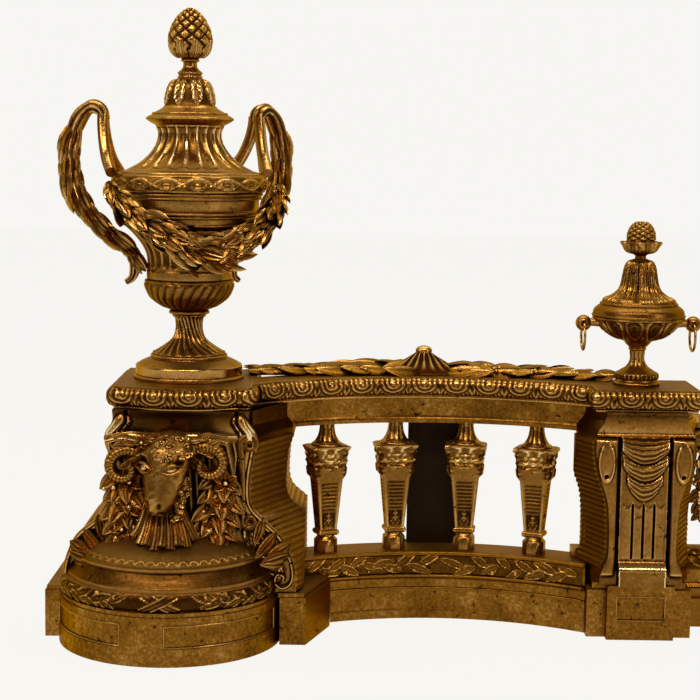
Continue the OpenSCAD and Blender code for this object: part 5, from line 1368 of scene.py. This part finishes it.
def small_relief(x, z, half):
    """Front of the mount: cove, columns with hooded loops, cloth, flutes, a sloping ledge and a block. Its grooves,
    flutes and the loops' eyes are painted darker as shade.
    """
    away = np.abs(x)
    middle = away < 17.6
    height, tone = np.where(middle, 0.6, 0.0), np.where(middle, 0.5, 0.42)
    column = half_round((away - (half + 20.4) / 2) / ((half - 20.0) / 2 + 0.2))
    shaft = between(z, 47, 50, 150, 152)
    height += 3.4 * column * shaft
    loop = np.hypot((away - 28.5) / 6.3, (z - 134) / 15.5)
    hood = shaft * (half_round(loop) * 1.4 + 0.8 * bump(loop, 0.9, 0.2) * (z < 146))
    eye = bump(np.hypot(away - 28.5, z - 123.5), 0, 2.4)
    height += hood - 2.4 * eye
    tone += 0.1 * column * shaft - 0.2 * eye + 0.04 * bump(loop, 0.9, 0.2)
    groove = bump(away, 19.0, 1.5) * between(z, 50, 54, 156, 160)
    height -= 2.2 * groove
    tone -= 0.4 * groove
    flat = (away < 16) & (z > 61) & (z < 101 + 1.4 * np.cos(np.pi * x / 4))
    flute = flat * np.maximum(np.maximum(bump(x, -8, 1.3), bump(x, 0, 1.3)), bump(x, 8, 1.3))
    swell = flat * 0.6 * np.abs(np.sin(np.pi * (x - 8) / 8)) ** 0.5
    height += 0.9 * swell - 1.9 * flute
    tone += 0.1 * swell - 0.5 * flute
    for top, sag, wide in ((127, 13, 13.0), (140.5, 12, 16.5), (152.5, 11, 17.5)):
        fold, inside = cloth_fold(x, z, top, sag, wide)
        height = np.where(inside, fold, height)
        tone = np.where(inside, 0.12 + 0.11 * fold, tone)
    ledge = middle * (1 - step_up(z, 54, 60))
    height += 5.2 * ledge + 0.5 * middle * bump(z, 53, 1)
    tone += 0.3 * middle * between(z, 53.5, 55, 59, 60)
    hollow = step_up(z, 151.5, 153)
    rise = (z - 153) / 18
    height = height * (1 - hollow) + hollow * (1.6 * bump(z, 153.6, 1.4) + 5.5 * np.clip(rise, 0, 1) ** 2.2)
    # The cove is painted darker towards the cap as a painted shadow under it.
    tone = np.where(hollow > 0.5, 0.72 - 0.5 * np.clip(rise, 0, 1) ** 1.5, tone)
    return height, tone


def small_rear(half, z):
    """Rear corners of the mount, close behind its face."""
    return np.stack([xyz(half - 0.6, -26.6, z), xyz(0.6 - half, -26.6, z)], 1)


drapery = face_form(small_line, 41.2, 171.8, -30.2, small_relief, 128, small_rear, SMALL, 0.85)
make_pair("drapery", drapery, gilt_carved, "drapery", crease=55)

line, run = evenly(small_line[(small_line[:, 1] < 151) & (small_line[:, 1] > 53)], 0.6)
k = np.linspace(0, 1, 8)[None, :]
ribs = (0.1 + 0.9 * np.sin(np.pi * np.clip((run / 4.0) % 1 / 0.84, 0, 1)) ** 0.6)[:, None]
small_ribs = []
for sign, limit in ((-1, 47.0), (1, 38.8)):
    wide = np.minimum(line[:, :1] - 0.2 + 0.445 * 31.6 * k, limit) + 1.0
    small_ribs.append(ribbed_skin(sign, SMALL, wide, np.where(wide > limit, 0.2, ribs), -26.8 + 31.6 * k,
                                  line[:, 1:], 1.5, (0.2, 0.3)))
make_pair("small_flank", small_ribs, patina)

# ---- Plinth panels ----
# The faces of the plinths are cast with sunk panels; a fine line painted bright as a highlight on the panel's edge
# runs round each of them.

lines = []
# Thin lines of a bright tone: a painted highlight along the panels' edges.
panel = xyz([-18, 18, 18, -18, -18], -33.1, [15, 15, 33, 33, 15]) + (*SMALL, 0)
for i in range(4):
    lines.append(oval_swept(panel[i:i + 2], FRONT, even(0.35), even(0.4), toned(0.68), 8, 12)[0])
low, high = (0, 0, 13.8), (0, 0, 29.2)
for start, stop in ((192.6, 249.6), (272.4, 341.4)):
    a = np.radians(np.linspace(start, stop, 30))
    ring = xyz(BOW[0] + 81.3 * np.cos(a), BOW[1] + 81.3 * np.sin(a), 0)
    for path, across in ((ring + low, (0, 0, 1)), (ring + high, (0, 0, 1)),
                         (ring[[0, 0]] + [low, high], (1, 0, 0)), (ring[[-1, -1]] + [low, high], (1, 0, 0))):
        lines.append(oval_swept(path, across, even(0.6), even(0.6), toned(0.68), 8, 3)[0])
make_pair("panel_lines", lines, gilt_carved)

# ---- Small urn ----
# Four turned castings on a rod: a foot with a ring of small flutes, a bowl of tongue-shaped leaves, a
# bell-shaped lid under long leaves, and a flower-bud finial. Two pierced balls at its sides carry rings.

CUP_BOWL_Z, CUP_LID_Z, CUP_FINIAL_Z = 220.5, 239.5, 282.5
LUG_X, LUG_Z = 41, 234


def small_foot_carving(angle, z):
    """A ring of thirty small flutes below the stem, and a shallow ripple up the stem. A band at the top of the stem
    is painted lighter as a highlight.
    """
    ring = between(z, 4.6, 5.2, 8.4, 9)
    wave = crest(30 * angle)
    stem = between(z, 12, 15, 24, 26)
    ripple = stem * np.cos(10 * angle)
    return (ring * (0.9 * wave - 0.5) + 0.25 * ripple,
            0.58 + ring * (0.5 * wave - 0.4) + 0.12 * ripple + 0.2 * bump(z, 28.5, 3))


small_foot = np.vstack([[(1, 0), (17, 0)], arc((16.6, 1.6), 1.2, -60, 80, 6), [(15.8, 3.4)],
                        arc((15.2, 6.8), 1.1, -70, 80, 9, 2.4), [(14.4, 9.8), (13.6, 10.2)],
                        softened([(12.5, 11), (8, 14), (5.8, 17.5), (5.2, 21), (5.8, 26)]),
                        arc((6.0, 27.2), 0.8, -60, 80, 5), [(8.5, 30.4), (10, 32.4), (1, 32.4)]])
make_pair("cup_foot", turned(small_foot, RAIL_TOP, CUP, 138, small_foot_carving, 0.95), gilt_carved, "cup_foot")


def small_bowl_carving(angle, z):
    """Twelve tongue-shaped leaves: a raised rim where the shifted ellipse of place and height is 1, a
    sunk field inside it, and pointed tips between them at the foot."""
    u = cells(angle, 12)
    v = np.clip((z - 1.5) / 15.5, 0, 1.2)
    egg = np.hypot(u / (0.62 + 0.3 * v), (v - 0.56) / 0.52)
    zone = between(z, 0.6, 1.6, 16.4, 17.2)
    rim = bump(egg, 0.96, 0.22)
    core = bump(egg, 0.45, 0.2) * 0.5
    tip = bump(np.abs(u), 1.0, 0.3) * (1 - step_up(v, 0.1, 0.5))
    return (zone * (1.0 * rim + 0.5 * core + 0.8 * tip - 0.7),
            0.62 + zone * (0.5 * rim + 0.2 * core + 0.3 * tip - 0.3))


def ball_carving(angle, z):
    """A hole through the ball from the front to the back, on its equator, painted dark as shade inside."""
    side = np.abs(np.sin(angle))
    return -1.6 * bump(side, 1, 0.12) * (np.abs(z) < 2.2), 0.62 - 0.4 * bump(side, 1, 0.14) * (np.abs(z) < 2.4)


small_bowl = np.vstack([[(1, 0), (9.6, 0)], softened([(11.5, 0.8), (20, 3.8), (27.2, 9), (31.6, 14.5), (33.4, 17)]),
                        arc((33.6, 18), 0.8, -60, 70, 5), [(33.4, 18.9), (1, 18.9)]])
parts = [turned(small_bowl, CUP_BOWL_Z, CUP, 180, small_bowl_carving, 0.95)]
for side in (-1, 1):
    parts.append(turned(arc((0, 0), 6.0, -82, 82, 19), LUG_Z, (CUP[0] + side * LUG_X, CUP[1]), 28,
                        ball_carving, 0.7))
    arm = xyz(np.multiply(side, (36.5, 33, 30)), 0, (234.4, 235, 235.2)) + (*CUP, 0)
    parts.append(oval_swept(arm, (0, 1, 0), lambda k: 3.0 + 1.8 * k, lambda k: 2.8 + 1.2 * k, around=16)[0])
make_pair("cup_bowl", parts, gilt_carved, "cup_bowl", crease=45)


def small_lid_carving(angle, z):
    """Eleven long leaves: each is scored by lines that spread from its foot, and its rim rolls out."""
    u = cells(angle + 0.1, 11)
    t = np.clip((z - 11.5) / 30, 0, 1)
    zone = between(z, 11.6, 12.4, 40.5, 42.5)
    lines = crest(TURN * (2.6 * np.abs(u) * (1 + 0.25 * np.cos(5 * t)) + 0.5 * t))
    gap = bump(np.abs(u), 1, 0.16 + 0.2 * (1 - t) ** 3)
    curl = bump(z, 13.2, 1.8) * (1 - gap)
    return (zone * (0.5 * lines - 0.8 * gap + 0.5 * curl - 0.2),
            0.46 + zone * (0.34 * lines - 0.34 * gap + 0.1 * curl - 0.1))


small_lid = np.vstack([[(1, 0), (34.4, 0)], arc((34.2, 0.9), 0.7, -60, 80, 5), softened([(34.2, 1.8), (33.4, 5),
                       (31, 7.4), (29.4, 8.4)]), arc((28.4, 9.4), 0.8, -50, 80, 5), [(27.8, 10.6)],
                       softened([(27.2, 12), (19, 16.8), (14.8, 22), (13, 30), (11.6, 37), (9.4, 41), (6, 42.6)]),
                       [(5, 43), (1, 43)]])
make_pair("cup_lid", turned(small_lid, CUP_LID_Z, CUP, 180, small_lid_carving, 0.95), gilt_carved, "cup_lid")


def bud_carving(angle, z):
    """A calyx of seven pointed leaves that flare out, below a dome of round scales in crossing rows."""
    point = crest(7 * angle)
    calyx = 1 - step_up(z, 12.2, 13)
    flare = bump(z, 11.4, 4.2) * calyx
    veins = crest(28 * angle)
    rise = 0.42 * (z - 13) + 0.012 * (z - 13) ** 2
    a, b = cells(angle, 8, rise / 2), cells(angle, 8, -rise / 2)
    scale = np.sqrt(np.clip(1 - a ** 2, 0, 1) * np.clip(1 - b ** 2, 0, 1))
    dome = between(z, 13, 14, 26.5, 27.8)
    return (flare * (3.4 * point - 3.0) + 0.5 * calyx * step_up(z, 3, 5) * veins + dome * (1.7 * scale - 0.6),
            0.35 + calyx * (0.15 * veins + 0.3 * point * step_up(z, 3, 6)) + dome * (0.6 * scale - 0.2))


bud = np.vstack([[(1, 0), (4.2, 0), (4, 2.2)], softened([(5.5, 3.4), (10.6, 5.4), (13.2, 8.6), (15.4, 12)]),
                 [(14.6, 12.7), (11.2, 13)], softened([(10, 13.6), (9.9, 18.6), (7.7, 23.6), (4.3, 26.6),
                                                       (0.8, 27.8)])])
make_pair("cup_finial", turned(bud, CUP_FINIAL_Z, CUP, 150, bud_carving, 0.7), gilt_carved, "cup_finial", crease=45)

# ---- Centre rails ----
# Two straight rails that slide behind the small pedestals: a round upper one of bundled rods, crossed by
# bands of reels, and a lower one whose hollow band repeats the laurel of the curved rail.


def ribbon_carving(s, v, depth):
    """Bundled rods that wind round the rail, crossed every 58 mm by a band of three reels."""
    u = np.abs((s + 29) % 58 - 29)
    zone = between(v, 5, 6.5, 25, 26.5)
    reels = (u < 7) * (0.55 + 0.45 * np.cos(TURN * u / 4.6))
    way = np.where((s // 58) % 2 > 0, 1, -1)
    rods = (u >= 7) * crest(TURN * (v + 0.3 * way * s) / 6.3)
    return zone * (1.1 * reels + 0.8 * rods - 0.6), 0.5 + zone * (0.34 * reels + 0.36 * rods - 0.2)


def make_centre(name, form, finish):
    """One piece in the place of its node on the centre section."""
    make_piece(name, form, finish, "centre", [name], crease=50)


top_profile = np.vstack([[(-9, 163), (-7, 163), (1.5, 157.6), (4.8, 157), (4.8, 154.6), (3.6, 154)],
                         arc((-1, 146), 8, 74, -74, 22), [(3.4, 138), (-8.6, 138)]])
straight = [(-232.0, 0.0), (232.0, 0.0)]
make_centre("centre_top_rail", moulding(straight, top_profile, ribbon_carving, 1.6), gilt_carved)

centre_leaves, centre_berries = laurel(((6, 228), (458, 236)), (21, 22), 12, 1.6, 9.0, 19, 3.9)


def laurel_carving(s, v, depth):
    """The band between the two rails' edges is pressed with laurel that points to the middle."""
    zone = between(v, 7, 8.2, 31, 32.2)
    height, tone = pressed(s, (v - 19) * 0.86 + 12, centre_leaves, (), centre_berries)
    return zone * (height * 1.1 - 0.4), np.where(zone > 0.5, tone, 0.56)


base_profile = np.vstack([[(-9, 61), (5, 61), (6, 60), (6, 57)], arc((3, 44.5), 3.5, 72, -72, 15, 3.28),
                          [(6, 31), (3, 29), (3, 23), (7, 22), (7, 0), (-9, 0)]])
make_centre("centre_base_rail", moulding(straight, base_profile, laurel_carving, 1.6), old_carved)

# ---- Centre wreath and swags ----
# A laurel wreath on four crossed arms, and a long garland that hangs to each side of it from bunches of
# fruit. Both are screwed between the two centre rails.


def leafy_tube(line, wide, high, rings, around, length, draw):
    """A core painted dark as shade between the leaves, with rings of overlapping leaves and some berries."""
    core, tube = oval_swept(line, (0, 1, 0), wide, high, toned(0.12), 14, 3)
    count = rings * around
    share = np.clip(np.repeat(np.linspace(0, 0.97, rings), around) + draw.normal(0, 0.004, count), 0, 1)
    angle = np.tile(spokes(around), rings) + draw.normal(0, 0.2, count)
    leaves = on_tube(tube, share, angle, wide, high, 0.8, 14)
    size = length * draw.uniform(0.85, 1.15, count)
    berries = on_tube(tube, draw.uniform(0, 1, rings), draw.uniform(0, 6.3, rings), wide, high, 1.15)
    return [core, leaves_at(0.3, *leaves, np.outer(size, (1, 0.95, 1))),
            scattered(berry_shape(), *berries, draw.uniform(1.4, 2.0, rings))]


HUB = np.array((0, 0, 99.5))  # the middle of the wreath
draw = np.random.default_rng(14)
parts = []
for start, stop in ((-90, 88), (270, 92)):
    a = np.radians(np.linspace(start, stop, 40))
    parts += leafy_tube(HUB + xyz(31.0 * np.cos(a), 1, 31.0 * np.sin(a)), even(4.6), even(4.6), 15, 7, 13, draw)
for turn in (45, 135):
    tip = np.array((33 * np.cos(np.radians(turn)), 0, 33 * np.sin(np.radians(turn))))
    parts.append(oval_swept([HUB - tip + (0, 1, 0), HUB + tip + (0, 1, 0)], (0, 1, 0), even(3), even(2.6),
                            lambda a, run, k: (0.4 * np.cos(run * 1.4), 0.5 + 0.3 * np.cos(run * 1.4)), 14, 0.8)[0])
petals = spokes(16)
for radius, depth in ((11.5, -3), (7.5, -6)):
    parts.append(leaves_at(0.5, HUB + xyz(2 * np.cos(petals), depth, 2 * np.sin(petals)),
                           xyz(np.cos(petals), -0.3, np.sin(petals)), FRONT, radius))
parts.append(berries_at(HUB + (0, -5.5, 0), 4.5, berry_shape(16, 9)))
make_centre("centre_wreath", parts, gilt_carved)

parts = []
for sign in (-1, 1):
    k = np.linspace(0, 1, 40)
    line = xyz(sign * (169 - 127.5 * k), 0, 136 - 120 * k * (1 - k))
    parts += leafy_tube(line, swelling(3.0, 2.4), swelling(3.2, 3.2), 24, 7, 14, draw)
    k = draw.uniform(0, 1, 40)
    spots = xyz(sign * 169 + draw.normal(0, 2.4, 40), draw.normal(0, 2.0, 40), 138 - 52 * k)
    parts.append(berries_at(spots, draw.uniform(2.2, 3.4, 40)))
    parts.append(leaves_at(0.4, spots[:24], xyz(draw.normal(0, 0.8, 24), -0.3, -0.8), FRONT,
                           np.outer(draw.uniform(9, 12, 24), (1, 1.1, 1))))
    parts.append(oval_swept([(sign * 169, 0, 136), (sign * 169, 0, 84)], (1, 0, 0), even(3.2), even(3),
                            around=12, step=6)[0])
swags = joined(parts)
make_centre("centre_swags", (swags[0] * (1, 0.72, 1) + (0, 1.2, 0), *swags[1:]), gilt_carved)

# ---- Finish ----
# Every node that is still shown keeps its shape and takes the finish of its metal.

for name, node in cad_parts.items():
    if node.hide_render:
        continue
    if "andiron" in name:
        finish = black_iron
    elif "fixings" in name or "ring_" in name:
        finish = brass
    elif "plinth" in name or "rail" in name:
        finish = old_plain
    else:
        finish = gilt_plain
    node.data.materials.clear()
    node.data.materials.append(finish)
